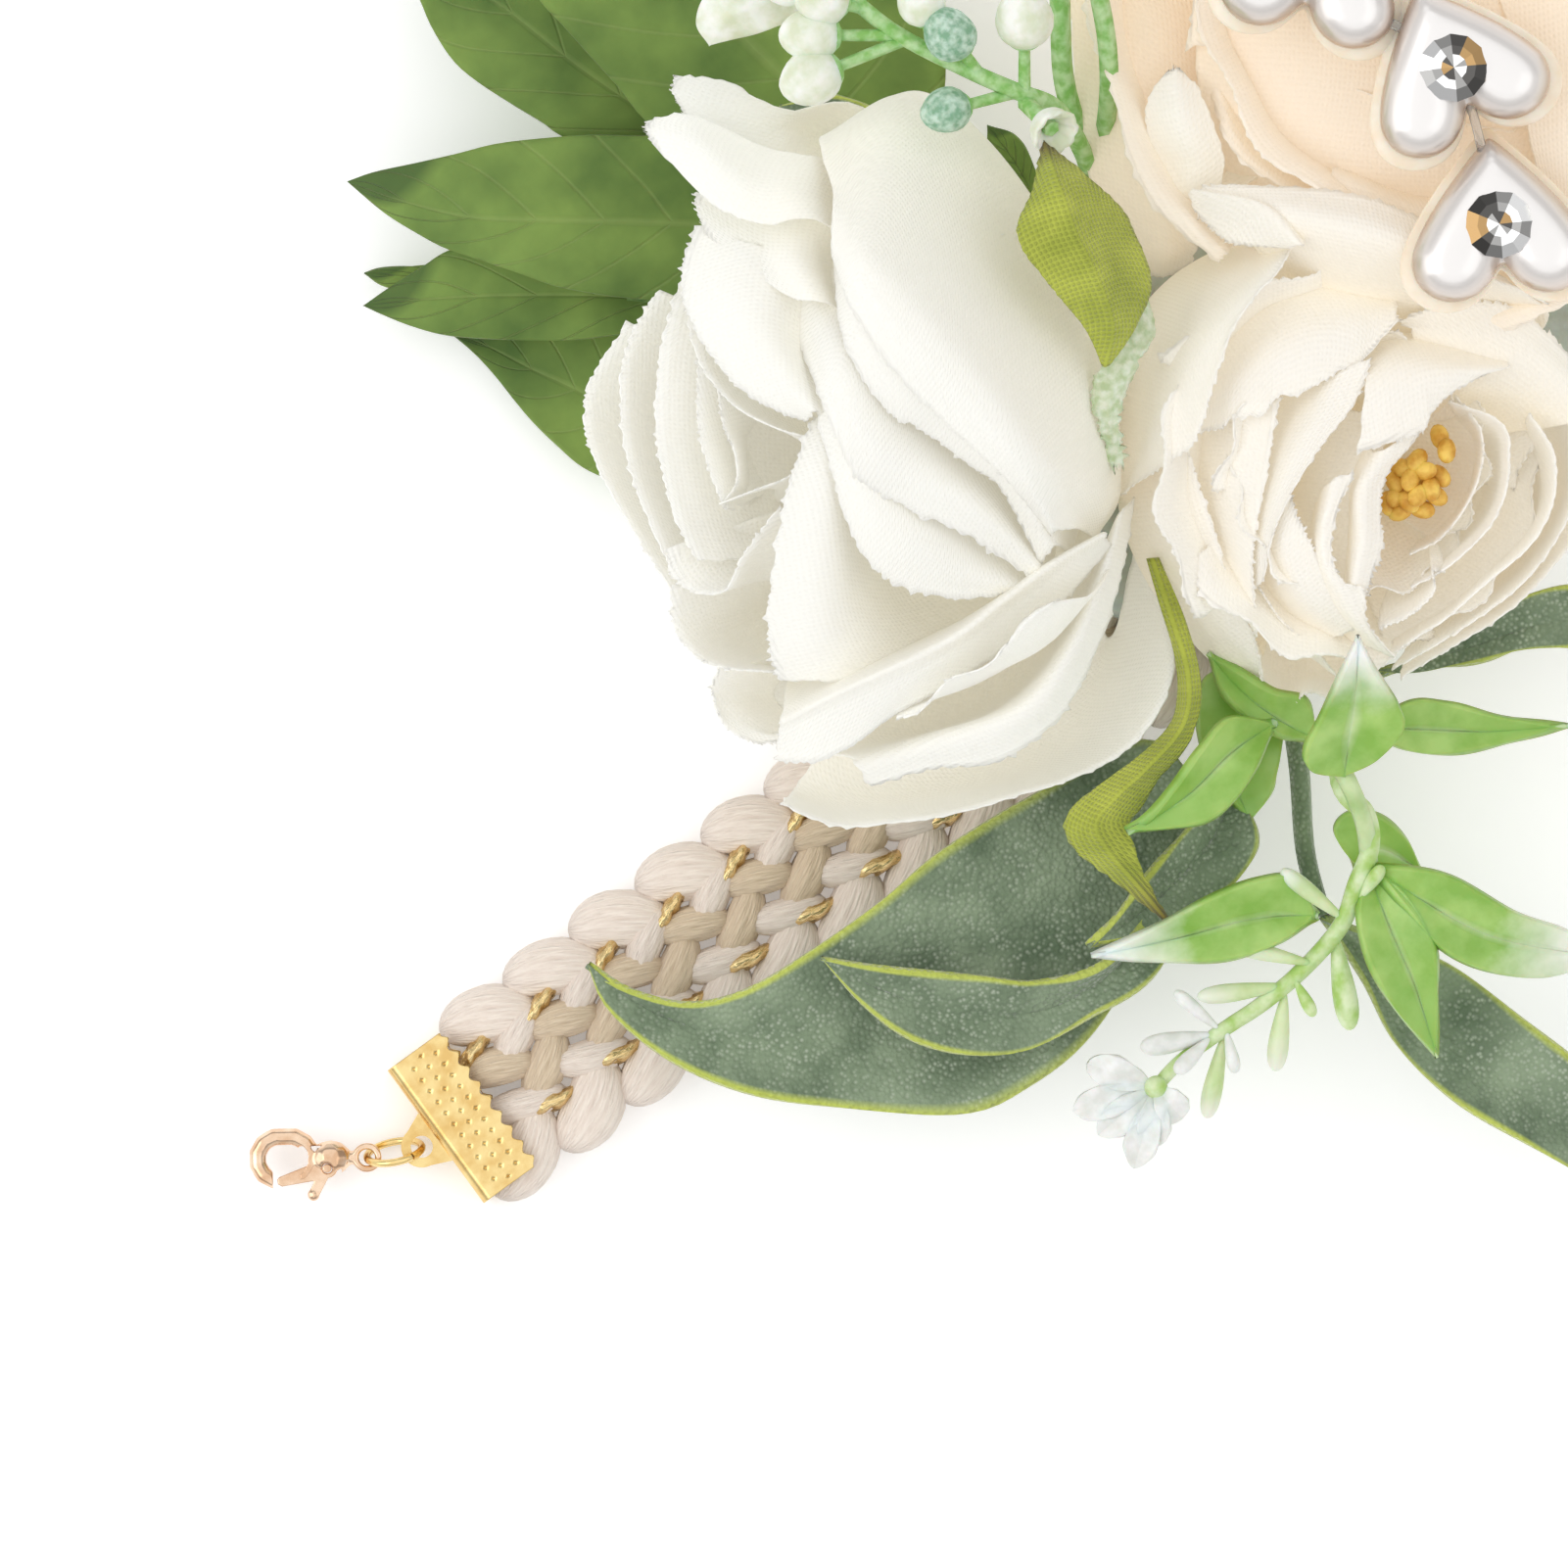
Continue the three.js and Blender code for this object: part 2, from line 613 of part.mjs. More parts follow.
function calyx(rose) {
  const stemFoot = -stemLength(rose);
  const spigotTop = whorlZ(cupShares.length) + calyxHeight;
  const outline = [
    [0, stemFoot], [stemRadius, stemFoot], [stemRadius, 0], [calyxRadius * 0.8, calyxHeight * 0.4],
    [calyxRadius, calyxHeight], [spigotRadius, calyxHeight], [spigotRadius, spigotTop], [0, spigotTop],
  ];
  return solid(turned(outline, 8));
}

const budShares = [[0.13, 0], [0.2, 0.3], [0.24, 0.62], [0.2, 0.88], [0.1, 1], [0, 0.97]];
function bud(rose) {
  const base = whorlZ(cupShares.length);
  const bore = spigotRadius + clearance;
  const boreTop = base + calyxHeight + clearance;
  const outline = budShares.map(([r, z]) => [
    Math.max(r * rose.radius, z > 0.9 ? 0 : bore + petalThickness),
    base + z * (rose.height - base),
  ]);
  return solid(turned([[0, boreTop], [bore, boreTop], [bore, base], ...outline], 8));
}

const antherCount = 7;
const antherRadius = 0.7;
function stamens(rose) {
  const base = whorlZ(cupShares.length);
  const bore = spigotRadius + clearance;
  const boreTop = base + calyxHeight + clearance;
  const foot = bore + petalThickness;
  const top = rose.height * 0.72;
  const column = [
    [0, boreTop], [bore, boreTop], [bore, base], [foot, base], [foot, top * 0.6], [bore, top], [0, top],
  ];
  const anthers = Array.from({ length: antherCount }, (_, i) => {
    const azimuth = (2 * Math.PI * i) / antherCount;
    const reach = i % 2 ? bore : foot * 1.3;
    const tipZ = top + bore * (1 + (i % 2));
    const tip = new THREE.Vector3(reach * Math.cos(azimuth), reach * Math.sin(azimuth), tipZ);
    const root = new THREE.Vector3(tip.x / 2, tip.y / 2, top * 0.8);
    const ball = new THREE.IcosahedronGeometry(antherRadius, 0).translate(tip.x, tip.y, tip.z);
    return rod([root, tip], antherRadius / 2, 3, 1).add(solid(ball));
  });
  return joined([solid(turned(column, 8)), ...anthers]);
}

// A neighbour's bulk, seen from the frame of another rose
function bulkIn(rose, neighbour) {
  const toRose = rose.frame.matrixWorld.clone().invert().multiply(neighbour.frame.matrixWorld);
  return roseBulk(neighbour).transform(toRose.elements);
}

const pressedBy = {
  cream_rose: ["white_rose"],
  white_rose: [],
  champagne_rose: ["white_rose", "cream_rose"],
  second_white_rose: ["cream_rose", "champagne_rose"],
};
const roseLooks = {
  cream_rose: creamSatin,
  white_rose: whiteSatin,
  champagne_rose: champagneSatin,
  second_white_rose: whiteSatin,
};
for (const rose of Object.values(roses)) {
  const look = roseLooks[rose.name];
  const pressing = pressedBy[rose.name].map((other) => bulkIn(rose, roses[other]));
  add(`${rose.name}_calyx`, calyx(rose), material("#8fa65b", 0.6), rose.frame);
  cupShares.forEach(({ name }, layer) => {
    const petals = pressing.reduce((body, bulk) => body.subtract(bulk), petalLayer(rose, layer));
    add(`${rose.name}_${name}`, largest(petals), look(), rose.frame);
  });
  const hasStamens = rose.name === "cream_rose";
  const heart = hasStamens ? stamens(rose) : bud(rose);
  const heartLook = hasStamens ? material("#d3a53c", 0.7) : look();
  add(`${rose.name}_${hasStamens ? "stamens" : "bud"}`, heart, heartLook, rose.frame);
}

// Greenery is placed by its bearing from a rose's base, its reach in that rose's radii and its height in
// that rose's heights above the glue.
function near(rose, [bearing, reach, height]) {
  const base = roses[rose].frame.position;
  const out = reach * roses[rose].radius;
  return new THREE.Vector3(
    base.x + out * Math.cos(turn(bearing)),
    base.y + out * Math.sin(turn(bearing)),
    glueTop + height * roses[rose].height,
  );
}

// The point of the glue's rim that lies nearest to the way out to a piece, clear of it by its radius
function glueRim(towards, radius) {
  const out = towards.clone().sub(glueCentre);
  const angle = Math.atan2(out.y / glueRadiusY, out.x / glueRadiusX);
  const off = clearance + radius;
  return new THREE.Vector3(
    glueCentre.x + (glueRadiusX + off) * Math.cos(angle),
    glueCentre.y + (glueRadiusY + off) * Math.sin(angle),
    glueMid,
  );
}

const leafBlunt = 0.75;
function blade(points, width, thickness, peak = 1, fold = 0.12, sides = 6, steps = 5) {
  const spine = new THREE.CatmullRomCurve3(points);
  const up = new THREE.Vector3(0, 0, 1);
  return skin(
    (angle, share) => {
      const wide = Math.abs(Math.sin(Math.PI * share ** peak)) ** leafBlunt;
      const tangent = spine.getTangent(share);
      const across = up.clone().cross(tangent).normalize();
      const normal = tangent.clone().cross(across);
      const side = Math.cos(angle);
      const rise = (wide * Math.sin(angle) * thickness) / 2 + fold * width * wide * Math.abs(side);
      const middle = spine.getPoint(share).addScaledVector(normal, rise);
      return middle.addScaledVector(across, (wide * side * width) / 2);
    },
    sides,
    steps,
  );
}

// Fabric rose leaves, each on its own wire stem, with their widths as shares of the widest
const leafThickness = 0.7;
const leafStem = 0.6;
const leafWidth = 15;
const leafShares = [
  { at: [[116, 1.16, -0.06], [121, 1.86, -0.02], [124, 2.42, -0.14]], wide: 0.87 },
  { at: [[124, 1.1, -0.15], [130, 1.83, -0.13], [133, 2.28, -0.2]], wide: 0.7 },
  { at: [[137, 1.05, -0.24], [138, 1.5, -0.22], [134, 1.97, -0.26]], wide: 0.73 },
  { at: [[104, 1.2, -0.16], [108, 2.0, -0.04], [108, 2.6, -0.1]], wide: 0.93 },
  { at: [[97, 1.2, -0.05], [97, 1.75, 0.06], [95, 2.4, 0]], wide: 1 },
];
leafShares.forEach(({ at, wide }, i) => {
  const points = at.map((share) => near("white_rose", share));
  const inLeaf = points[0].clone().lerp(points[1], 0.15);
  const stem = rod([inLeaf, points[0], glueRim(points[0], leafStem)], leafStem, 5, 4);
  const leaf = blade(points, wide * leafWidth, leafThickness, 0.85);
  add(`fabric_leaf_${i + 1}`, leaf.add(stem), material("#5f7540", 0.8));
});

// Frosted leaf sprays: thick flocked leaves on a stem
const frostedThickness = 1;
const frostedStem = 1;
const frostedWidth = 17;
function spray(rose, stemShares, leaves, stemSize, thickness, widest, fold) {
  const placed = stemShares.map((share) => near(rose, share));
  const route = [glueRim(placed[0], stemSize), ...placed];
  const stem = rod(route, stemSize, 5, 3 * placed.length);
  const blades = leaves.map(({ from, at, wide, peak = 1 }) => {
    const back = route[from].clone().sub(route[from + 1]).setLength(2 * stemSize);
    const root = route[from + 1].clone().add(back);
    return blade([root, ...at.map((share) => near(rose, share))], wide * widest, thickness, peak, fold);
  });
  return joined([stem, ...blades]);
}
const frosted = () => material("#7f947a", 0.9);
add(
  "frosted_leaf_spray_left",
  spray(
    "cream_rose",
    [[222, 1.2, 0.0], [218, 1.5, 0.12]],
    [
      { from: 0, at: [[203, 2.4, 0.12], [190, 3.2, 0.02], [181, 3.68, -0.06]], wide: 1, peak: 0.9 },
      { from: 1, at: [[205, 2.4, 0.26], [192, 2.95, 0.22]], wide: 0.53 },
      { from: 1, at: [[217, 1.9, 0.24], [212, 2.25, 0.3]], wide: 0.56 },
    ],
    frostedStem,
    frostedThickness,
    frostedWidth,
    0.1,
  ),
  frosted(),
);
add(
  "frosted_leaf_spray_right",
  spray(
    "cream_rose",
    [[262, 1.1, -0.1], [262, 1.35, -0.02]],
    [
      { from: 1, at: [[247, 2.2, 0.04], [253, 2.9, 0.02], [260, 3.5, -0.1]], wide: 0.82, peak: 0.9 },
      { from: 1, at: [[280, 1.4, 0.1], [294, 1.6, 0.06]], wide: 0.41 },
    ],
    frostedStem,
    frostedThickness,
    frostedWidth,
    0.1,
  ),
  frosted(),
);

// Glossy moulded sprig with white-tipped leaves
const glossyStem = 0.9;
const glossyThickness = 0.9;
const glossyWidth = 7;
add(
  "glossy_leaf_sprig",
  spray(
    "cream_rose",
    [[236, 1.2, 0.16], [241, 1.36, 0.42], [241, 1.82, 0.42]],
    [
      { from: 1, at: [[244, 1.14, 0.62], [248, 1.0, 0.8]], wide: 1 },
      { from: 1, at: [[262, 1.36, 0.38], [277, 1.58, 0.3]], wide: 0.64 },
      { from: 1, at: [[220, 1.4, 0.52], [212, 1.7, 0.5]], wide: 0.86 },
      { from: 2, at: [[223, 2.01, 0.46], [211, 2.27, 0.4]], wide: 0.71 },
      { from: 2, at: [[255, 2.05, 0.42], [262, 2.43, 0.32]], wide: 0.93 },
      { from: 2, at: [[244, 2.15, 0.42], [246, 2.56, 0.32]], wide: 0.93 },
      { from: 0, at: [[226, 1.5, 0.28], [222, 1.8, 0.3]], wide: 0.79 },
    ],
    glossyStem,
    glossyThickness,
    glossyWidth,
    0.12,
  ),
  material("#9db765", 0.4),
);

// Mini flower spray: buds on short stalks along a stem, and an open flower at its end
const miniStem = 0.6;
const miniBud = 1.3;
const miniPetal = 3.6;
function podsOn(rose, pods, size) {
  return pods.map(({ root, tip, swell = 1 }) => {
    const [from, to] = [near(rose, root), near(rose, tip)];
    const pod = new THREE.SphereGeometry(size * swell, 5, 4).translate(to.x, to.y, to.z);
    return rod([from, to], miniStem / 2, 3, 1).add(solid(pod));
  });
}
const miniRouteShares = [
  [246, 1.25, -0.08], [244, 1.75, 0.16], [233, 2.13, 0.28], [227, 2.43, 0.28], [221, 2.71, 0.26],
];
const miniRoute = miniRouteShares.map((share) => near("cream_rose", share));
const miniPods = [
  { root: [233, 2.13, 0.28], tip: [234, 2.36, 0.32] },
  { root: [227, 2.43, 0.28], tip: [230, 2.5, 0.34] },
  { root: [227, 2.43, 0.28], tip: [222, 2.36, 0.32] },
  { root: [221, 2.71, 0.26], tip: [225, 2.76, 0.3] },
  { root: [221, 2.71, 0.26], tip: [220, 2.54, 0.3] },
  { root: [230, 2.28, 0.28], tip: [226, 2.12, 0.33] },
  { root: [241, 1.8, 0.22], tip: [238, 2.2, 0.32] },
];
const miniFlowerAt = near("cream_rose", [218, 2.86, 0.25]);
const miniPetals = Array.from({ length: 5 }, (_, i) => {
  const azimuth = (2 * Math.PI * i) / 5;
  const out = new THREE.Vector3(Math.cos(azimuth), Math.sin(azimuth), 0);
  const shares = [[0, 0], [0.5, 0.2], [1, 0.1]];
  const points = shares.map(([r, z]) =>
    miniFlowerAt.clone().addScaledVector(out, r * miniPetal).add(new THREE.Vector3(0, 0, z * miniPetal)),
  );
  return blade(points, miniPetal / 2, miniStem, 1, 0.1, 4, 4);
});
add(
  "mini_flower_spray",
  joined([
    rod([glueRim(miniRoute[0], miniStem), ...miniRoute, miniFlowerAt], miniStem, 4, 9),
    ...podsOn("cream_rose", miniPods, miniBud),
    solid(new THREE.SphereGeometry(miniBud, 6, 4).translate(...miniFlowerAt)),
    ...miniPetals,
  ]),
  material("#cfdcb4", 0.5),
);

// Berry sprig: a forked stem with pale berries, standing between the white and the champagne rose
const berryStem = 0.8;
const berryRadius = 1.9;
const berryRouteShares = [[58, 0.8, 0.05], [73, 0.98, 0.45], [71, 1.15, 0.74], [80, 1.3, 0.8]];
const berryRoute = berryRouteShares.map((share) => near("white_rose", share));
const berryStemRoute = [glueRim(berryRoute[0], berryStem), ...berryRoute];
const berryPods = [
  { root: [80, 1.3, 0.8], tip: [94, 1.46, 0.8] },
  { root: [80, 1.3, 0.8], tip: [89, 1.6, 0.86] },
  { root: [78, 1.25, 0.79], tip: [75, 1.4, 0.88] },
  { root: [71, 1.15, 0.74], tip: [66, 1.3, 0.84] },
  { root: [76, 1.2, 0.77], tip: [84, 1.22, 0.84], swell: 0.8 },
  { root: [71, 1.15, 0.74], tip: [70, 1.02, 0.82], swell: 0.8 },
];
add(
  "berry_sprig",
  joined([
    rod(berryStemRoute, berryStem, 5, 10),
    ...podsOn("white_rose", berryPods, berryRadius),
  ]),
  material("#b9ceae", 0.5),
);

const glueBlock = ellipsePlate(glueRadiusX, glueRadiusY, glueTop - glueBase, glueRound);
let glue = solid(glueBlock.translate(padCentreX, padCentreY, glueBase));
const channelHalf = strapWidth / 2 + clearance;
const channelTop = strapTop + clearance;
glue = glue.subtract(
  solid(boxBetween(-padLength, 2 * padLength, -channelHalf, channelHalf, glueBase - overrun, channelTop)),
);
for (const rose of Object.values(roses)) {
  const depth = stemLength(rose) + clearance;
  const socket = cylinder(stemRadius + clearance, depth, 12).translate(0, 0, -depth / 2);
  glue = glue.subtract(solid(socket.applyMatrix4(rose.frame.matrixWorld)));
}
// The berry sprig's stem lies in a groove wherever the glue reaches it.
glue = glue.subtract(rod(berryStemRoute, berryStem + clearance / 2, 6, 10));
add("hot_glue_bed", glue, material("#dfe3da", 0.35));

// Fabric sepals that curl from under the white rose
const sepalThickness = 0.6;
const sepalWidth = 8;
const sepalShares = [
  { name: "rose_sepal_upper", at: [[43, 0.48, 0.3], [50, 0.78, 0.6], [62, 1.05, 0.82]], wide: 1 },
  { name: "rose_sepal_lower", at: [[256, 0.42, 0.1], [252, 0.85, 0.32], [243, 1.45, 0.3]], wide: 0.75 },
];
for (const { name, at, wide } of sepalShares) {
  const points = at.map((share) => near("white_rose", share));
  add(name, blade(points, wide * sepalWidth, sepalThickness, 1, 0.16), material("#a9b54a", 0.8));
}

// Pearl strand: flat heart pearls moulded on a clear thread, each with a rhinestone, on the champagne rose
function heartShape() {
  const half = heartWidth / 2;
  const heart = new THREE.Shape();
  heart.moveTo(0, -half);
  heart.bezierCurveTo(half * 0.5, -half * 0.55, half, -half * 0.1, half, half * 0.35);
  heart.bezierCurveTo(half, half * 0.95, half * 0.25, half * 1.05, 0, half * 0.42);
  heart.bezierCurveTo(-half * 0.25, half * 1.05, -half, half * 0.95, -half, half * 0.35);
  heart.bezierCurveTo(-half, -half * 0.1, -half * 0.5, -half * 0.55, 0, -half);
  return heart;
}
const heartRound = heartThickness * 0.36;
function heartPearl() {
  const geometry = new THREE.ExtrudeGeometry(heartShape(), {
    depth: heartThickness - 2 * heartRound,
    bevelThickness: heartRound,
    bevelSize: heartRound,
    bevelOffset: -heartRound,
    bevelSegments: 1,
    curveSegments: 4,
  });
  geometry.translate(0, 0, heartRound);
  const seat = cylinder(rhinestoneRadius + clearance, rhinestoneHeight, 8).translate(0, 0, heartThickness);
  return solid(geometry).subtract(solid(seat));
}
// rise: how far a heart stands above the rims of the middle petals, in its own thicknesses
const heartShares = [
  { bearing: 233, reach: 0.16, rise: 0.95, spin: 200 },
  { bearing: 246, reach: 0.6, rise: 0.64, spin: 20 },
  { bearing: 126, reach: 0.4, rise: 0.95, spin: 130 },
  { bearing: 96, reach: 0.86, rise: 0.38, spin: 60 },
];
const champagneRims = roses.champagne_rose.lift + cupCurve(roses.champagne_rose, 1).getPoint(1).y;
const hearts = heartShares.map(({ bearing, reach, rise, spin }) => {
  const holder = new THREE.Group();
  holder.position.copy(near("champagne_rose", [bearing, reach, 0]));
  holder.position.z += champagneRims + rise * heartThickness;
  holder.rotation.z = turn(spin);
  holder.updateMatrixWorld(true);
  return holder;
});
const threadZ = new THREE.Vector3(0, 0, heartThickness / 2);
const threadRoute = [1, 0, 2, 3].map((i) => hearts[i].position.clone().add(threadZ));
const pearls = hearts.map((holder) => heartPearl().transform(holder.matrixWorld.elements));
add("pearl_strand", joined([rod(threadRoute, threadRadius, 4, 9), ...pearls]), material("#f4efe8", 0.25));

function rhinestone() {
  const table = rhinestoneRadius * 0.55;
  const outline = [[0, 0], [rhinestoneRadius * 0.8, 0], [rhinestoneRadius, rhinestoneHeight * 0.45],
    [table, rhinestoneHeight], [0, rhinestoneHeight]];
  return solid(turned(outline, 8));
}
hearts.forEach((holder, i) => {
  part.add(holder);
  const seatFloor = heartThickness - rhinestoneHeight / 2 + clearance;
  add(`rhinestone_${i + 1}`, rhinestone(), material("#e8eef2", 0.05), holder).position.z = seatFloor;
});

export default part;
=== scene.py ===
import json
import math
import random

import bpy
import numpy as np
from mathutils import Matrix, Vector


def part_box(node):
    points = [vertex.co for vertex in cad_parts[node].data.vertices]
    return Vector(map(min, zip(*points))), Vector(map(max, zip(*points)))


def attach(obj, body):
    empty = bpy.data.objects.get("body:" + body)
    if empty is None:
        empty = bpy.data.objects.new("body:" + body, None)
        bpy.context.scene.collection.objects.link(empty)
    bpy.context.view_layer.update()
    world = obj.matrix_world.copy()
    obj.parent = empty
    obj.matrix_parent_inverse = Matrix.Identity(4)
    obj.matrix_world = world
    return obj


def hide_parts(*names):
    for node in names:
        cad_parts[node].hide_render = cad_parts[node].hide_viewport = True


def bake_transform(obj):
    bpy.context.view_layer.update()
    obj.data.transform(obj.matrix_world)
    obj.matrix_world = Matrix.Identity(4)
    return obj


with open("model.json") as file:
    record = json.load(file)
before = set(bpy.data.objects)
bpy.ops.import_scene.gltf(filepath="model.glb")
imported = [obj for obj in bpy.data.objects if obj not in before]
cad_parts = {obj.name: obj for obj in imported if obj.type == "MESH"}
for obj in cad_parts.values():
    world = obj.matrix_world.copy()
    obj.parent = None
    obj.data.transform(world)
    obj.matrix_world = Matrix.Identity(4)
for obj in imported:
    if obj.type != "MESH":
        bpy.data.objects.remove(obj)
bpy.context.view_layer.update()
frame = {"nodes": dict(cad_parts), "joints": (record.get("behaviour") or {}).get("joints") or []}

# Camera: it looks straight down on the clasp side of the corsage, turned by the angle at which the strap
# lies in the picture, from far enough away that the roses hardly swell towards it.
mm = 0.001
view_width = 118.6 * mm
view_distance = 1.0
view_height = 20 * mm
view_turn = math.radians(36)
view_centre = Vector((-50.4, 6.2, 0)) * mm
picture_width = 1601

camera_data = bpy.data.cameras.new("camera")
camera_data.sensor_width = 36
camera_data.lens = camera_data.sensor_width * view_distance / view_width
camera_data.clip_start = view_distance / 10
camera_data.clip_end = view_distance * 10
camera = bpy.data.objects.new("camera", camera_data)
camera.location = view_centre + Vector((0, 0, view_distance + view_height))
camera.rotation_euler = (0, 0, -view_turn)
bpy.context.scene.collection.objects.link(camera)
bpy.context.scene.camera = camera
bpy.context.scene.view_settings.view_transform = "Standard"


def at_pixel(x, y, height):
    """The point in the row frame, in mm, at that height under a pixel of the picture."""
    across = (x / picture_width - 0.5) * view_width
    up = (0.5 - y / picture_width) * view_width
    right = Vector((math.cos(view_turn), -math.sin(view_turn), 0))
    top = Vector((math.sin(view_turn), math.cos(view_turn), 0))
    seen = view_centre + right * across + top * up + Vector((0, 0, view_height))
    along = (camera.location.z - height * mm) / view_distance
    return (camera.location + (seen - camera.location) * along) / mm


# Floor and light: a plain pale studio table in a white light tent, with a softbox at the upper left that
# models the folds of the petals. The tent is dimmer halfway up its sides, which metal and pearls reflect.
floor_size = 3.0
floor_gap = 0.05 * mm
floor_colour = "#fbfbfb"
floor_glow = 0.2
tent_strength = 1.0
tent_bands = ((0.5, 0.9), (0.62, 0.85), (0.68, 0.45), (0.78, 0.45), (0.84, 1.12))
key_power = 3.0
key_size = 0.9
key_place = Vector((-0.75, 0.45, 0.75))
fill_power = 0.6
fill_place = Vector((0.5, -0.6, 0.8))


def linear(colour):
    """A colour written as sRGB hex, as the linear red, green, blue and alpha that Blender takes."""
    shares = [int(colour[i : i + 2], 16) / 255 for i in (1, 3, 5)]
    return (*[s / 12.92 if s <= 0.04045 else ((s + 0.055) / 1.055) ** 2.4 for s in shares], 1)


def put(tree, kind, inputs=None, **settings):
    """Adds a shader node with its settings. An input that is another node or its output is linked."""
    added = tree.nodes.new("ShaderNode" + kind)
    for name, value in settings.items():
        setattr(added, name, value)
    for name, value in (inputs or {}).items():
        if isinstance(value, bpy.types.Node):
            value = value.outputs[0]
        if isinstance(value, bpy.types.NodeSocket):
            tree.links.new(value, added.inputs[name])
        else:
            added.inputs[name].default_value = value
    return added


def finish_of(name, **values):
    """A new material with these values on its shader's sockets, its node tree and its shader."""
    made = bpy.data.materials.new(name)
    made.use_nodes = True
    shader = made.node_tree.nodes["Principled BSDF"]
    for key, value in values.items():
        shader.inputs[key.replace("_", " ")].default_value = value
    return made, made.node_tree, shader


def only(piece):
    """Selects one object alone and makes it the active one."""
    bpy.ops.object.select_all(action="DESELECT")
    piece.select_set(True)
    bpy.context.view_layer.objects.active = piece


bpy.ops.object.select_all(action="DESELECT")
bpy.ops.mesh.primitive_plane_add(size=floor_size, location=(0, 0, -floor_gap))
floor = bpy.context.object
floor.name = "floor"
floor_paint, tree, shader = finish_of("matt_white_table", Roughness=0.9)
shader.inputs["Base Color"].default_value = linear(floor_colour)
shader.inputs["Emission Color"].default_value = (1, 1, 1, 1)
shader.inputs["Emission Strength"].default_value = floor_glow
floor.data.materials.append(floor_paint)

sky = bpy.data.worlds.new("studio")
sky.use_nodes = True
tent = sky.node_tree
ways = put(tent, "TexCoord")
parts = put(tent, "SeparateXYZ", {"Vector": ways.outputs["Generated"]})
upward = put(tent, "MapRange", {"Value": parts.outputs["Z"], "From Min": -1.0, "From Max": 1.0})
bands = put(tent, "ValToRGB", {"Fac": upward})
while len(bands.color_ramp.elements) < len(tent_bands):
    bands.color_ramp.elements.new(0.5)
for element, (position, level) in zip(bands.color_ramp.elements, tent_bands):
    element.position = position
    element.color = (level, level, level, 1)
tent.nodes["Background"].inputs["Strength"].default_value = tent_strength
tent.links.new(bands.outputs["Color"], tent.nodes["Background"].inputs["Color"])
bpy.context.scene.world = sky
for name, place, power in (("key", key_place, key_power), ("fill", fill_place, fill_power)):
    light = bpy.data.lights.new(name, "AREA")
    light.energy = power
    light.size = key_size
    lamp = bpy.data.objects.new(name, light)
    lamp.location = place
    lamp.rotation_euler = (-place).to_track_quat("-Z", "Y").to_euler()
    bpy.context.scene.collection.objects.link(lamp)


# Felt wrist pad: an oval die-cut from pressed wool felt. The glue holds to its upper side and its lower
# side lies on the wrist, so its edge is soft and slightly fuzzy.
felt_colours = ("#ece4d4", "#f6f1e6")
felt_fibre = 0.25
felt_edge = 0.45
felt_sides = 96
felt_crease = 60


def apply_all(piece):
    """Applies a piece's modifiers, in order."""
    only(piece)
    for modifier in list(piece.modifiers):
        bpy.ops.object.modifier_apply(modifier=modifier.name)


def settle(piece, name, *looks):
    """Gives a finished piece its name and finish, and moves its place into its mesh."""
    only(piece)
    bpy.ops.object.transform_apply(location=True, rotation=True, scale=True)
    piece.name = name
    piece.data.name = name
    if looks:
        piece.data.materials.clear()
        for look in looks:
            piece.data.materials.append(look)
    return piece


def speckled(tree, colours, grain, detail=3.0, low=0.35, high=0.65):
    """A colour that wanders between two at a grain of that many mm, and the noise that it follows."""
    place = put(tree, "TexCoord")
    noise = put(tree, "TexNoise", {
        "Vector": place.outputs["Object"], "Scale": 1 / (grain * mm), "Detail": detail,
    })
    ramp = put(tree, "ValToRGB", {"Fac": noise.outputs["Fac"]})
    for element, position, colour in zip(ramp.color_ramp.elements, (low, high), colours):
        element.position = position
        element.color = linear(colour)
    return ramp.outputs["Color"], noise.outputs["Fac"]


def raised(tree, shader, height, depth, strength=1.0):
    """Lets a height, as a share of depth in mm, show as relief on a shader."""
    bump = put(tree, "Bump", {"Height": height, "Distance": depth * mm, "Strength": strength})
    tree.links.new(bump.outputs["Normal"], shader.inputs["Normal"])


felt, tree, shader = finish_of("pressed_wool_felt", Roughness=0.98, Sheen_Weight=0.4)
colour, fibre = speckled(tree, felt_colours, felt_fibre)
tree.links.new(colour, shader.inputs["Base Color"])
raised(tree, shader, fibre, felt_fibre)

low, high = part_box("wrist_pad")
size = high - low
bpy.ops.object.select_all(action="DESELECT")
bpy.ops.mesh.primitive_cylinder_add(vertices=felt_sides, radius=1, depth=1, location=(low + high) / 2)
pad = bpy.context.object
pad.scale = (size.x / 2, size.y / 2, size.z)
only(pad)
bpy.ops.object.transform_apply(location=False, rotation=False, scale=True)
bpy.ops.object.mode_set(mode="EDIT")
bpy.ops.mesh.select_all(action="SELECT")
bpy.ops.mesh.bevel(offset=felt_edge * mm, segments=3)
bpy.ops.object.mode_set(mode="OBJECT")
only(pad)
bpy.ops.object.shade_smooth_by_angle(angle=math.radians(felt_crease))
settle(pad, "felt_wrist_pad", felt)
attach(pad, "corsage")
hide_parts("wrist_pad")


# Braided strap: a flat four-ridge braid of soft cotton yarn bundles, cream at both edges, beige in the
# middle, with twisted gold lurex between them. It is one braid, drawn in stretches that meet halfway between
# two hinges, each lying over one of them.
lobe_pitch = 6.2
strap_half = 2.2
pressed_end = (3.8, 12.4, 4.0)
pressed_round = 1.1
end_inset = 3.2
step_half = 3
# The lobes' middles above the strap's underside and their half heights at most, in half thicknesses
lobe_lift = 1.1
lobe_limit = 0.84
lobe_sides = 33
lobe_rings = 14
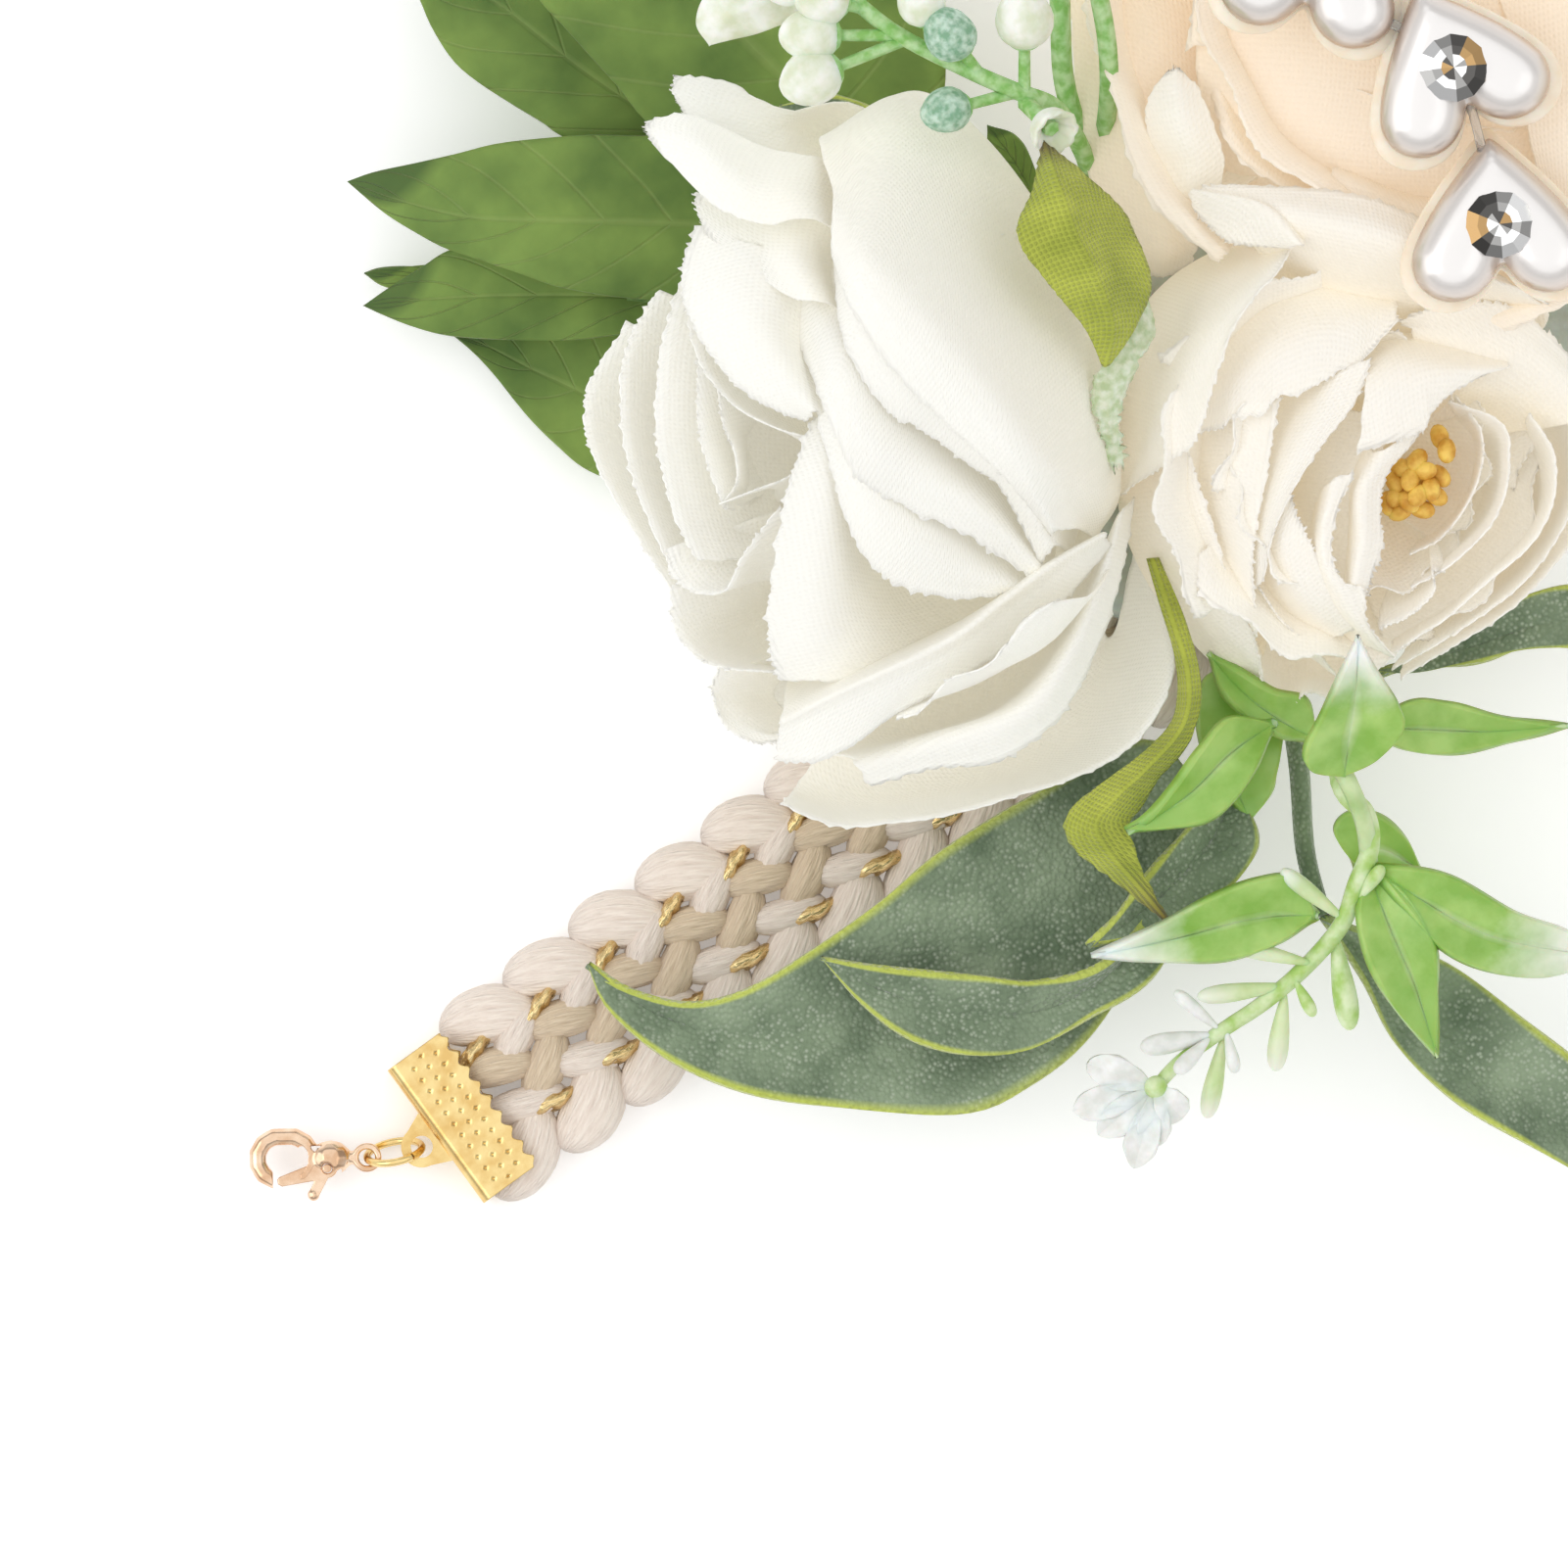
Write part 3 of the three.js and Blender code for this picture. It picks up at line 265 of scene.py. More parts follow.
# Each yarn's plies, their twist along a lobe in radians and how deep they part
yarn_plies = {"cream": (11, 0.5, 0.1), "beige": (8, 0.5, 0.12), "lurex": (3, 3.2, 0.3)}
# How often the colour changes across and along a bundle's UV map
cotton_fibres = (60, 5, 1)
lurex_glints = (26, 9, 1)
cream_yarn_colours = ("#e6d5c8", "#f7ebdf")
beige_yarn_colours = ("#cdb698", "#e6d3b8")
# The lurex's pale gold is a painted glint, its dark gold the thread's own colour.
lurex_glint_colours = ("#c79a45", "#fff0c0")
# Each lobe of the pattern: which yarn, where in the pitch, how far from the middle line, half length,
# half width and half height in mm, turn in degrees and how far its middle bows out
strap_lobes = (
    ("cream", 0.19, 4.7, 4.05, 2.25, 2.2, -29, 0.6),
    ("cream", 0.55, -4.75, 4.05, 2.25, 2.2, 30, -0.6),
    ("beige", 0.92, 1.35, 3.0, 1.45, 2.16, -22, 0.3),
    ("beige", 0.42, -0.3, 3.1, 1.5, 2.14, 30, -0.3),
    ("cream", 0.37, 2.5, 3.2, 1.4, 1.98, 28, 0.2),
    ("cream", 0.95, -1.9, 3.3, 1.4, 1.98, -20, -0.2),
    ("lurex", 0.8, 3.35, 2.1, 0.66, 2.08, 22, 0.2),
    ("lurex", 0.2, -2.85, 2.5, 0.76, 2.12, -14, -0.2),
)


def yarn(name, colours, fibres, detail, spread, depth, **values):
    """A yarn's finish: colour and relief wander along its fibres, which its UV map follows."""
    made, tree, shader = finish_of(name, **values)
    place = put(tree, "TexCoord")
    run = put(tree, "Mapping", {"Vector": place.outputs["UV"], "Scale": fibres})
    lines = put(tree, "TexNoise", {"Vector": run.outputs["Vector"], "Scale": 1.0, "Detail": detail})
    ramp = put(tree, "ValToRGB", {"Fac": lines.outputs["Fac"]})
    for element, position, colour in zip(ramp.color_ramp.elements, spread, colours):
        element.position = position
        element.color = linear(colour)
    tree.links.new(ramp.outputs["Color"], shader.inputs["Base Color"])
    raised(tree, shader, lines.outputs["Fac"], depth)
    return made


# Cotton is matt and hairy. Lurex is a film of metallised plastic slit into flat threads; its colour wanders
# from dark to pale gold along its twist, painted glints over the real reflections of its metal.
cream_yarn, beige_yarn = (
    yarn(name, colours, cotton_fibres, 4.0, (0.3, 0.62), 0.25,
         Roughness=0.95, Sheen_Weight=0.35, Sheen_Roughness=0.5)
    for name, colours in (
        ("cream_cotton_yarn", cream_yarn_colours), ("beige_cotton_yarn", beige_yarn_colours)
    )
)
lurex = yarn(
    "gold_lurex_thread", lurex_glint_colours, lurex_glints, 2.0, (0, 1), 0.12, Metallic=1.0, Roughness=0.22
)


def smooth(piece):
    """Shades a piece smooth all over."""
    only(piece)
    bpy.ops.object.shade_smooth()
    return piece


def spindle(look, plies, twist, depth):
    """A lobe one unit in half length, half width and half height, with its plies twisted round it."""
    bpy.ops.object.select_all(action="DESELECT")
    bpy.ops.mesh.primitive_uv_sphere_add(segments=lobe_sides, ring_count=lobe_rings, radius=1)
    lobe = bpy.context.object
    for vertex in lobe.data.vertices:
        along = vertex.co.z
        angle = math.atan2(vertex.co.y, vertex.co.x)
        ridge = abs(math.sin(0.5 * plies * (angle + twist * along)))
        plump = (1 - abs(along) ** 2.4) ** 0.5 * (1 + depth * (ridge - 0.6))
        vertex.co = (along, plump * math.cos(angle), plump * math.sin(angle))
    lobe.data.materials.append(look)
    return smooth(lobe)


spindles = {
    which: spindle(look, *yarn_plies[which])
    for which, look in (("cream", cream_yarn), ("beige", beige_yarn), ("lurex", lurex))
}


def twin(piece):
    """A copy of a piece, with a mesh of its own."""
    made = piece.copy()
    made.data = piece.data.copy()
    bpy.context.scene.collection.objects.link(made)
    return made


def join(parts, name):
    """Makes one piece of some parts, which keep their finishes."""
    bpy.ops.object.select_all(action="DESELECT")
    for part in parts:
        part.select_set(True)
    bpy.context.view_layer.objects.active = parts[0]
    bpy.ops.object.join()
    joined = bpy.context.object
    joined.name = name
    joined.data.name = name
    return joined


def braid(name, start, end, base):
    """The lobes of the strap whose middles lie between two places along it, in mm."""
    made = []
    first = math.floor(start / lobe_pitch) - 1
    for row in range(first, math.ceil(end / lobe_pitch) + 1):
        for which, phase, across, half_length, half_width, half_height, turn, bow in strap_lobes:
            x = (row + phase) * lobe_pitch
            if not start <= x < end:
                continue
            chance = random.Random(f"{which} {phase} {row}")
            lobe = twin(spindles[which])
            for vertex in lobe.data.vertices:
                vertex.co.y += bow / half_width * (1 - vertex.co.x**2)
            angle = math.radians(turn + chance.uniform(-3, 3))
            halves = (half_length, half_width, half_height)
            size = [length * mm * chance.uniform(0.97, 1.03) for length in halves]
            size[2] = min(size[2], lobe_limit * strap_half * mm)
            place = Vector((x, across, base + lobe_lift * strap_half)) * mm
            roll = Matrix.Rotation(chance.uniform(-0.3, 0.3), 4, "X")
            laid = Matrix.Translation(place) @ Matrix.Rotation(angle, 4, "Z")
            lobe.data.transform(laid @ Matrix.Diagonal((*size, 1)) @ roll)
            made.append(lobe)
    return join(made, name)


def joint_at(name):
    """A joint's place along the strap, in mm."""
    return next(joint for joint in frame["joints"] if joint["name"] == name)["pos_m"][0] / mm


middle_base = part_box("strap_middle")[0].z / mm


def wing(side, end):
    """The stretches of one side of the strap, from its middle piece outwards. Gives where they start."""
    way = 1 if end > 0 else -1
    hinges = [joint_at(f"{side}_wing_{i}_bend") for i in (1, 2, 3)]
    half = (hinges[1] - hinges[0]) / 2
    meets = [hinges[0] - half, *[(a + b) / 2 for a, b in zip(hinges, hinges[1:])], hinges[2] + half]
    bodies = ["corsage"] + [f"{side}_wing_{i}" for i in (1, 2, 3)]
    for i, hinge in enumerate(hinges):
        piece = braid(f"strap_{side}_bend_{i + 1}", *sorted((meets[i], meets[i + 1])), 0)
        if i == 0:
            # The strap steps up from the wrist's level onto the pad
            for vertex in piece.data.vertices:
                rise = (vertex.co.x / mm - (hinge + way * step_half)) / (-way * 2 * step_half)
                vertex.co.z += middle_base * mm * min(1, max(0, rise))
        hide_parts(f"strap_{side}_side_{i + 1}")
        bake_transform(piece)
    tail = braid(f"strap_{side}_end", *sorted((meets[3], end)), 0)
    # The braid's cut end, pressed flat inside the crimp
    low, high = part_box(f"{side}_end_crimp")
    mouth = Vector((low.x if way > 0 else high.x, (low.y + high.y) / 2, (low.z + high.z) / 2))
    bpy.ops.object.select_all(action="DESELECT")
    bpy.ops.mesh.primitive_cube_add(
        size=1, location=mouth + Vector((way * pressed_end[0] / 2 * mm, 0, 0)), scale=Vector(pressed_end) * mm
    )
    pressed = bpy.context.object
    bpy.ops.object.transform_apply(location=True, rotation=True, scale=True)
    rounded = pressed.modifiers.new("rounded", "BEVEL")
    rounded.width = pressed_round * mm
    rounded.segments = 5
    apply_all(pressed)
    pressed.data.materials.append(cream_yarn)
    tail = join([tail, pressed], f"strap_{side}_end")
    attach(tail, bodies[3])
    return meets[0]


inner_ends = [
    wing("clasp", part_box("strap_clasp_side_3")[0].x / mm + end_inset),
    wing("chain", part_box("strap_chain_side_3")[1].x / mm - end_inset),
]
middle = braid("strap_middle_braid", *sorted(inner_ends), middle_base)
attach(middle, "corsage")
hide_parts("strap_middle")
for template in spindles.values():
    bpy.data.objects.remove(template)


# Roses: petals die-cut from polyester satin, heat pressed into cups and threaded in layers on the spigot of
# a green calyx. Their cut edges fray a little. Two roses follow the picture petal by petal: each petal is a
# sheet laid through curves that are given by pixel and height, from its root in the calyx to its cut edge.
satin_thickness = 0.15
petal_columns = 88
petal_rows = 30
weave_pitch = 0.36  # the real satin has about 0.2 mm between threads, drawn coarser so that it shows
wave_period = 0.314  # between the bands of a wave texture at a scale of 1
fray = 0.3
petal_ruffle = 0.5
petal_droop = 0.25
# A petal's foot lies that high on the calyx, and that share of the way to its first curve
foot_height = 5.0
foot_share = 0.16
spigot_reach = 2.4
whorl_heights = (4.95, 6.15, 7.35, 8.1)
disc_reaches = (6.1, 5.1, 4.1, 3.2)
petal_skews = (0.9, 0.72, 0.54, 0.5)
# Shares of a rose's radius and height that the petals of each layer pass through
cup_shares = (
    ((0.52, 0.06), (0.84, 0.32), (0.95, 0.56), (1.0, 0.62)),
    ((0.38, 0.12), (0.6, 0.42), (0.7, 0.72), (0.76, 0.8)),
    ((0.27, 0.2), (0.4, 0.52), (0.45, 0.82), (0.47, 0.9)),
    ((0.16, 0.24), (0.25, 0.5), (0.24, 0.8), (0.14, 0.98)),
)
rose_shapes = {
    "white_rose": {
        "base": (-16.42, 12.73, 16.1), "radius": 25, "height": 33, "lean": 46, "lean_to": 144,
        "open": 0.2, "open_to": 144,
    },
    "cream_rose": {
        "base": (-3.24, 3.64, 12.2), "radius": 18.5, "height": 25, "lean": 15, "lean_to": 296,
        "open": 0.1, "open_to": 120,
    },
    "champagne_rose": {
        "base": (23.45, 23.41, 12.2), "radius": 27, "height": 24, "lean": 10, "lean_to": 45,
        "open": 0, "open_to": 0,
    },
    "second_white_rose": {
        "base": (37.34, -1.33, 15.6), "radius": 25, "height": 31, "lean": 42, "lean_to": -15,
        "open": 0.15, "open_to": -20,
    },
}


def woven(tree, pitches, distortion, detail):
    """How high the crossed threads of a cloth lie, from their pitches in mm on its UV map in mm."""
    place = put(tree, "TexCoord")
    threads = [
        put(tree, "TexWave", {
            "Vector": place.outputs["UV"], "Scale": wave_period / pitch, "Distortion": distortion,
            "Detail": detail,
        }, bands_direction=direction).outputs["Fac"]
        for direction, pitch in zip("XY", pitches)
    ]
    return put(tree, "Math", dict(enumerate(threads)), operation="MULTIPLY")


def satin(name, face, root, root_shade_reach, painted_glow):
    """Polyester satin: soft sheen, threads on its UV map in mm, a painted warm shade that grows towards each
    petal's root deep in the cup, and a faint painted glow in that shade's colour, which stands in for light
    that the thin cloth lets through from behind and lifts its shade."""
    made, tree, shader = finish_of(
        name,
        Roughness=0.62,
        Sheen_Weight=0.15,
        Sheen_Roughness=0.4,
        Subsurface_Weight=0.25,
        Subsurface_Radius=(1.0, 0.9, 0.75),
        Subsurface_Scale=1.5 * mm,
    )
    # Painted glow: the satin gives off a faint light of its own in its root colour, which lifts its shade.
    shader.inputs["Emission Color"].default_value = linear(root)
    shader.inputs["Emission Strength"].default_value = painted_glow
    # Painted shade: the colour turns warmer towards the petal's root, deep in the cup.
    depth = put(tree, "Attribute", attribute_name="root_to_edge")
    painted_root_shade = put(tree, "ValToRGB", {"Fac": depth.outputs["Fac"]})
    for element, position, colour in zip(painted_root_shade.color_ramp.elements, (root_shade_reach, 0.8), (root, face)):
        element.position = position
        element.color = linear(colour)
    tree.links.new(painted_root_shade.outputs["Color"], shader.inputs["Base Color"])
    raised(tree, shader, woven(tree, (weave_pitch, weave_pitch * 1.3), 0.4, 1.0), 0.06, 0.7)
    return made


# Each satin's face colour, its painted shade colour at the root, how far from the root that shade holds, and
# the strength of its painted glow.
white_satin = satin("white_polyester_satin", "#f1f0ea", "#f4efdf", 0.1, 0.11)
cream_satin = satin("cream_polyester_satin", "#f0ede6", "#f6ead2", 0.15, 0.13)
champagne_satin = satin("champagne_polyester_satin", "#f5ebdc", "#f8e2c4", 0.1, 0.13)


def through(points, count):
    """A smooth curve through some points, as that many evenly counted ones."""
    points = np.asarray(points, float)
    if len(points) == 1:
        return np.repeat(points, count, axis=0)
    ends = np.vstack([2 * points[0] - points[1], points, 2 * points[-1] - points[-2]])
    at = np.linspace(0, len(points) - 1, count)
    leg = np.minimum(at.astype(int), len(points) - 2)
    t = (at - leg)[:, None]
    a, b, c, d = (ends[leg + k] for k in range(4))
    return 0.5 * (2 * b + (c - a) * t + (2 * a - 5 * b + 4 * c - d) * t**2 + (3 * b - a - 3 * c + d) * t**3)


def sheet(name, place, thickness, look, edge=0.0):
    """A thin sheet whose points, in mm, are given row by row from its root to its edge, which may fray."""
    rows, columns = place.shape[0] - 1, place.shape[1] - 1
    chance = np.random.default_rng(sum(map(ord, name)))
    if edge:
        tear = (chance.uniform(-0.4, 0.7, columns + 1) + (chance.random(columns + 1) > 0.93)) * edge
        way = place[-1] - place[-2]
        place[-1] += way / np.linalg.norm(way, axis=1)[:, None].clip(1e-6) * tear[:, None]
        for side, inner in ((0, 1), (-1, -2)):
            tear = chance.uniform(-0.3, 1, rows + 1) * edge * np.linspace(0, 1, rows + 1)
            way = place[:, side] - place[:, inner]
            place[:, side] += way / np.linalg.norm(way, axis=1)[:, None].clip(1e-6) * tear[:, None]
    bpy.ops.object.select_all(action="DESELECT")
    bpy.ops.mesh.primitive_grid_add(x_subdivisions=columns, y_subdivisions=rows, size=2)
    piece = bpy.context.object
    piece.name = name
    mesh = piece.data
    flat = np.empty(len(mesh.vertices) * 3)
    mesh.vertices.foreach_get("co", flat)
    flat = flat.reshape(-1, 3)
    column = np.rint((flat[:, 0] + 1) / 2 * columns).astype(int)
    row = np.rint((flat[:, 1] + 1) / 2 * rows).astype(int)
    mesh.vertices.foreach_set("co", (place[row, column] * mm).ravel())
    across = np.linalg.norm(np.diff(place, axis=1), axis=2)
    across = np.hstack([np.zeros((rows + 1, 1)), np.cumsum(across, axis=1)])
    across -= across[:, columns // 2][:, None]
    along = np.linalg.norm(np.diff(place, axis=0), axis=2)
    along = np.vstack([np.zeros((1, columns + 1)), np.cumsum(along, axis=0)])
    corner = np.empty(len(mesh.loops), int)
    mesh.loops.foreach_get("vertex_index", corner)
    real = np.stack([across[row, column], along[row, column]], axis=1)[corner]
    mesh.uv_layers[0].data.foreach_set("uv", real.ravel())
    share = mesh.attributes.new("root_to_edge", "FLOAT", "POINT")
    share.data.foreach_set("value", (row / rows).astype(np.float32))
    wide = mesh.attributes.new("middle_to_side", "FLOAT", "POINT")
    wide.data.foreach_set("value", flat[:, 0].astype(np.float32))
    mesh.update()
    wall = piece.modifiers.new("wall", "SOLIDIFY")
    wall.thickness = thickness * mm
    wall.offset = 0
    wall.use_quality_normals = True
    apply_all(piece)
    mesh.materials.append(look)
    return smooth(piece)


def laid(rails, columns, rows):
    """The points of a sheet through some curves, from its root to its edge."""
    curves = np.stack([through(rail, columns + 1) for rail in rails])
    return np.stack([through(curves[:, i], rows + 1) for i in range(columns + 1)], axis=1)


def rose_axes(rose):
    """The turn that leans a rose's own upright frame over, and its base."""
    shape = rose_shapes[rose]
    towards = math.radians(shape["lean_to"])
    axis = Vector((-math.sin(towards), math.cos(towards), 0))
    return np.array(Matrix.Rotation(math.radians(shape["lean"]), 3, axis)), np.array(shape["base"])


def places(points):
    """The places in mm of some points given as pixel and height."""
    return [at_pixel(*point) for point in points]


def pixel_petal(rose, name, rails, look):
    """A petal through curves given as pixel and height, rooted round the calyx of its rose."""
    turned, base = rose_axes(rose)
    curves = [places(rail) for rail in rails]
    middle = turned @ np.array((0, 0, foot_height)) + base
    first = through(curves[0], petal_columns + 1)
    foot = middle + (first - middle) * foot_share
    place = laid([foot, *curves], petal_columns, petal_rows)
    return sheet(name, place, satin_thickness, look, fray)


def cup_petal(rose, name, look, layer, azimuth, half, shrink=1.0, cup=None):
    """A petal of a rose that the picture hardly shows, on its layer's cup."""
    shape = rose_shapes[rose]
    turned, base = rose_axes(rose)
    across = np.linspace(-1, 1, petal_columns + 1)
    waves = random.Random(name).uniform(0, 6.3)
    start = whorl_heights[layer]
    room = shape["height"] - start
    root = [(spigot_reach, start), (disc_reaches[layer], start)]
    rims = [(reach * shape["radius"], start + rise * room) for reach, rise in cup or cup_shares[layer]]
    rows = []
    profile = through([*root, *rims], petal_rows + 1)
    for share, (reach, up) in zip(np.linspace(0, 1, petal_rows + 1), profile):
        width = math.radians(half) * (0.4 + 0.6 * min(1, share * 1.8) ** 0.7)
        angle = math.radians(azimuth) + across * width
        opening = 1 + shape["open"] * share**2 * np.cos(angle - math.radians(shape["open_to"]))
        out = (reach * shrink + petal_skews[layer] * across) * opening
        out = out + petal_ruffle * share**3 * np.sin(3.2 * math.pi * across + waves)
        low = (up - start) * petal_droop * share**3 * np.abs(across) ** 2.6
        rows.append(np.stack([out * np.cos(angle), out * np.sin(angle), up - low], axis=1))
    place = np.array(rows) @ turned.T + base
    return sheet(name, place, satin_thickness, look, fray)


def bloom(rose, layer, petals, node):
    """Makes one piece of a layer's petals, in place of its node."""
    piece = settle(join(petals, f"{rose}_{layer}"), f"{rose}_{layer}_satin")
    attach(piece, "corsage")
    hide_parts(node)


# White rose, on its side: outer petals folded over towards the camera, rolled ones below, and a stack of
# narrow ones round the heart at the left. Every curve is (pixel across, pixel down, height in mm).
white_outer = [
    [[(850, 150, 28), (947, 98, 26), (1048, 193, 28), (1128, 366, 29), (1144, 494, 26), (1120, 545, 24)],
     [(851, 200, 36), (895, 235, 40.5), (960, 300, 42.8), (1030, 390, 43), (1085, 480, 40), (1100, 540, 33)],
     [(850, 245, 38.5), (880, 285, 43), (940, 350, 45), (1000, 415, 45.2), (1045, 475, 43.5),
      (1078, 541, 38)],
     [(850, 262, 37.5), (872, 318, 41), (920, 385, 42.6), (975, 440, 42.8), (1030, 492, 41),
      (1074, 546, 36.5)]],
    [[(830, 780, 15), (930, 780, 13), (1050, 740, 12), (1130, 650, 12)],
     [(799, 821, 22), (852, 843, 21), (902, 841, 21), (973, 831, 21.5), (1043, 811, 22), (1094, 795, 22),
      (1144, 770, 22), (1174, 740, 22), (1197, 690, 21.5), (1190, 630, 20), (1160, 560, 18)]],
    [[(860, 740, 19), (950, 730, 18), (1040, 690, 17.5), (1105, 600, 17)],
     [(872, 775, 26.5), (950, 752, 29.5), (1030, 725, 30.8), (1072, 685, 31), (1108, 618, 30),
      (1140, 530, 28)],
     [(890, 803, 25), (950, 785, 27.6), (1020, 776, 28), (1074, 740, 28.6), (1105, 695, 28.6),
      (1132, 630, 28.2), (1148, 570, 27.2), (1158, 510, 25)]],
    [[(800, 400, 15), (740, 450, 14), (760, 540, 15), (800, 600, 16)],
     [(640, 330, 24), (605, 385, 23.5), (597, 420, 24), (602, 455, 25), (622, 500, 26), (655, 554, 27),
      (684, 600, 28)]],
    [[(905, 130, 20), (860, 160, 19), (880, 220, 20)],
     [(800, 112, 25), (790, 128, 26), (795, 160, 27)],
     [(740, 84, 25), (728, 112, 27), (735, 145, 28)],
     [(691, 78, 24.5), (688, 95, 26), (702, 122, 27)]],
    [[(980, 200, 22), (930, 260, 22), (940, 330, 24)],
     [(846, 164, 31), (835, 195, 34), (846, 230, 36)],
     [(780, 150, 31.5), (770, 188, 35), (780, 228, 36)],
     [(706, 118, 31), (712, 150, 33.5), (728, 207, 34)],
     [(662, 124, 30), (661, 134, 30.8), (668, 148, 31)]],
    [[(900, 620, 19), (850, 680, 18), (900, 720, 19)],
     [(760, 680, 27), (745, 715, 26), (790, 748, 26)],
     [(734, 682, 29), (727, 705, 28), (741, 741, 27.6), (776, 759, 27.6), (812, 752, 28)]],
]
white_middle = [
    [[(862, 190, 25), (945, 150, 24), (1025, 225, 25), (1095, 375, 26), (1110, 490, 25), (1095, 560, 24)],
     [(853, 225, 34.5), (892, 295, 39.2), (950, 360, 41), (1012, 432, 41.3), (1052, 497, 39.4),
      (1078, 556, 35)],
     [(851, 262, 35.2), (861, 345, 38.4), (900, 413, 40.2), (943, 440, 40.6), (988, 473, 40),
      (1023, 500, 38.6), (1062, 575, 34.5)]],
    [[(845, 215, 24), (925, 180, 23), (1005, 250, 24), (1070, 390, 25), (1085, 500, 24), (1075, 575, 23)],
     [(828, 280, 33), (868, 350, 37.6), (908, 418, 39.4), (958, 468, 39.4), (1008, 512, 38), (1066, 580, 34)],
     [(810, 330, 33.4), (832, 392, 36.6), (857, 453, 38.6), (879, 490, 39), (912, 510, 39.2),
      (963, 535, 38.8), (1008, 558, 37.4), (1062, 596, 34)]],
    [[(830, 660, 20), (900, 650, 19), (1000, 620, 18), (1080, 570, 18)],
     [(800, 728, 32), (862, 698, 34.4), (963, 650, 35.6), (1018, 612, 35.2), (1074, 572, 34.2),
      (1124, 545, 32)],
     [(797, 745, 32), (866, 715, 34.3), (968, 667, 35.4), (1022, 629, 35), (1078, 588, 34),
      (1128, 551, 31.6)],
     [(793, 776, 29.6), (832, 777, 31), (872, 760, 32), (912, 730, 32.6), (973, 698, 33), (1013, 671, 32.6),
      (1053, 641, 32), (1094, 605, 31.2), (1134, 556, 29.4)]],
    [[(850, 360, 18), (780, 430, 16), (790, 520, 17), (840, 590, 18)],
     [(671, 297, 27), (645, 342, 27.4), (634, 392, 28), (640, 463, 29), (660, 525, 30), (690, 590, 30.4)]],
    [[(870, 560, 20), (800, 620, 18), (840, 670, 20)],
     [(686, 600, 29.6), (688, 639, 29), (709, 668, 29), (741, 682, 29.6), (790, 686, 30.4)]],
    [[(960, 240, 24), (900, 300, 24), (920, 370, 26)],
     [(846, 215, 32), (830, 262, 35), (850, 312, 36.5)],
     [(780, 212, 31.5), (775, 255, 34), (802, 300, 36)],
     [(711, 198, 29.5), (713, 218, 31), (722, 240, 32)]],
]
white_inner = [
    [[(840, 250, 26), (905, 230, 25), (970, 300, 25), (1030, 430, 26), (1050, 540, 24)],
     [(836, 320, 33), (868, 410, 37), (905, 482, 38.2), (955, 530, 37.8), (1000, 566, 36), (1052, 596, 33)],
     [(815, 352, 32.6), (832, 413, 35.8), (851, 488, 37.6), (867, 539, 38), (887, 574, 37.8),
      (917, 597, 37.4), (963, 610, 36.6), (1010, 608, 35.4), (1048, 602, 33)]],
    [[(930, 470, 28), (920, 540, 27), (940, 600, 26), (1000, 640, 24)],
     [(868, 430, 35), (862, 500, 36.2), (856, 570, 36), (858, 640, 34.6), (880, 690, 32)],
     [(830, 426, 35), (812, 473, 36.6), (799, 523, 37), (789, 584, 36.4), (784, 632, 35.4), (788, 670, 34.2),
      (796, 694, 33)]],
    [[(870, 500, 24), (830, 560, 23), (860, 620, 24)],
     [(680, 560, 31.2), (688, 588, 31.6), (711, 605, 32), (741, 602, 32.6), (760, 566, 33.4),
      (795, 520, 34.6)]],
    [[(900, 380, 24), (850, 430, 22), (840, 500, 22), (870, 560, 23)],
     [(696, 282, 29.6), (676, 352, 30.6), (669, 423, 31.4), (675, 473, 31.8), (690, 530, 32),
      (712, 572, 32)]],
    [[(930, 330, 27), (900, 400, 27), (910, 460, 29)],
     [(800, 262, 34), (790, 330, 36), (838, 420, 36.6)],
     [(711, 231, 31), (700, 262, 32), (697, 300, 33), (716, 347, 34.2), (751, 392, 35), (792, 418, 35.6),
      (824, 430, 35.6)]],
]
white_heart = [
    [[(900, 370, 26), (860, 430, 24), (870, 480, 24)],
     [(706, 305, 31), (704, 335, 31.8), (718, 376, 33), (750, 414, 34), (790, 436, 34.6), (822, 446, 34.8)]],
    [[(880, 400, 22), (830, 430, 19), (830, 490, 20)],
     [(716, 340, 30.6), (712, 400, 31.4), (716, 450, 32), (732, 500, 32.2), (742, 520, 32.2)]],
    [[(860, 430, 20), (800, 450, 18), (820, 510, 20)],
     [(731, 374, 31), (738, 430, 32), (750, 462, 32.2), (752, 492, 32.2), (738, 514, 32)]],
    [[(870, 470, 24), (810, 510, 22), (850, 530, 24)],
     [(736, 514, 32.6), (772, 500, 34), (803, 488, 34.8), (822, 470, 35.2), (829, 432, 35.2)]],
]
# The wrist's side of the cup, which the picture doesn't show, by azimuth in the rose's own frame
hidden_petals = {"outer_petals": (64, 118, 180, 246)}
hidden_half = 38
hidden_shrink = 0.82
for layer, petals, node in (
    ("outer_petals", white_outer, "white_rose_outer_petals"),
    ("middle_petals", white_middle, "white_rose_middle_petals"),
    ("inner_petals", white_inner, "white_rose_inner_petals"),
    ("heart", white_heart, "white_rose_bud"),
):
    made = [
        pixel_petal("white_rose", f"white {layer} {i}", rails, white_satin) for i, rails in enumerate(petals)
    ]
    for azimuth in hidden_petals.get(layer, ()):
        made.append(cup_petal(
            "white_rose", f"white under {azimuth}", white_satin, 0, azimuth, hidden_half, hidden_shrink
        ))
    bloom("white_rose", layer, made, node)


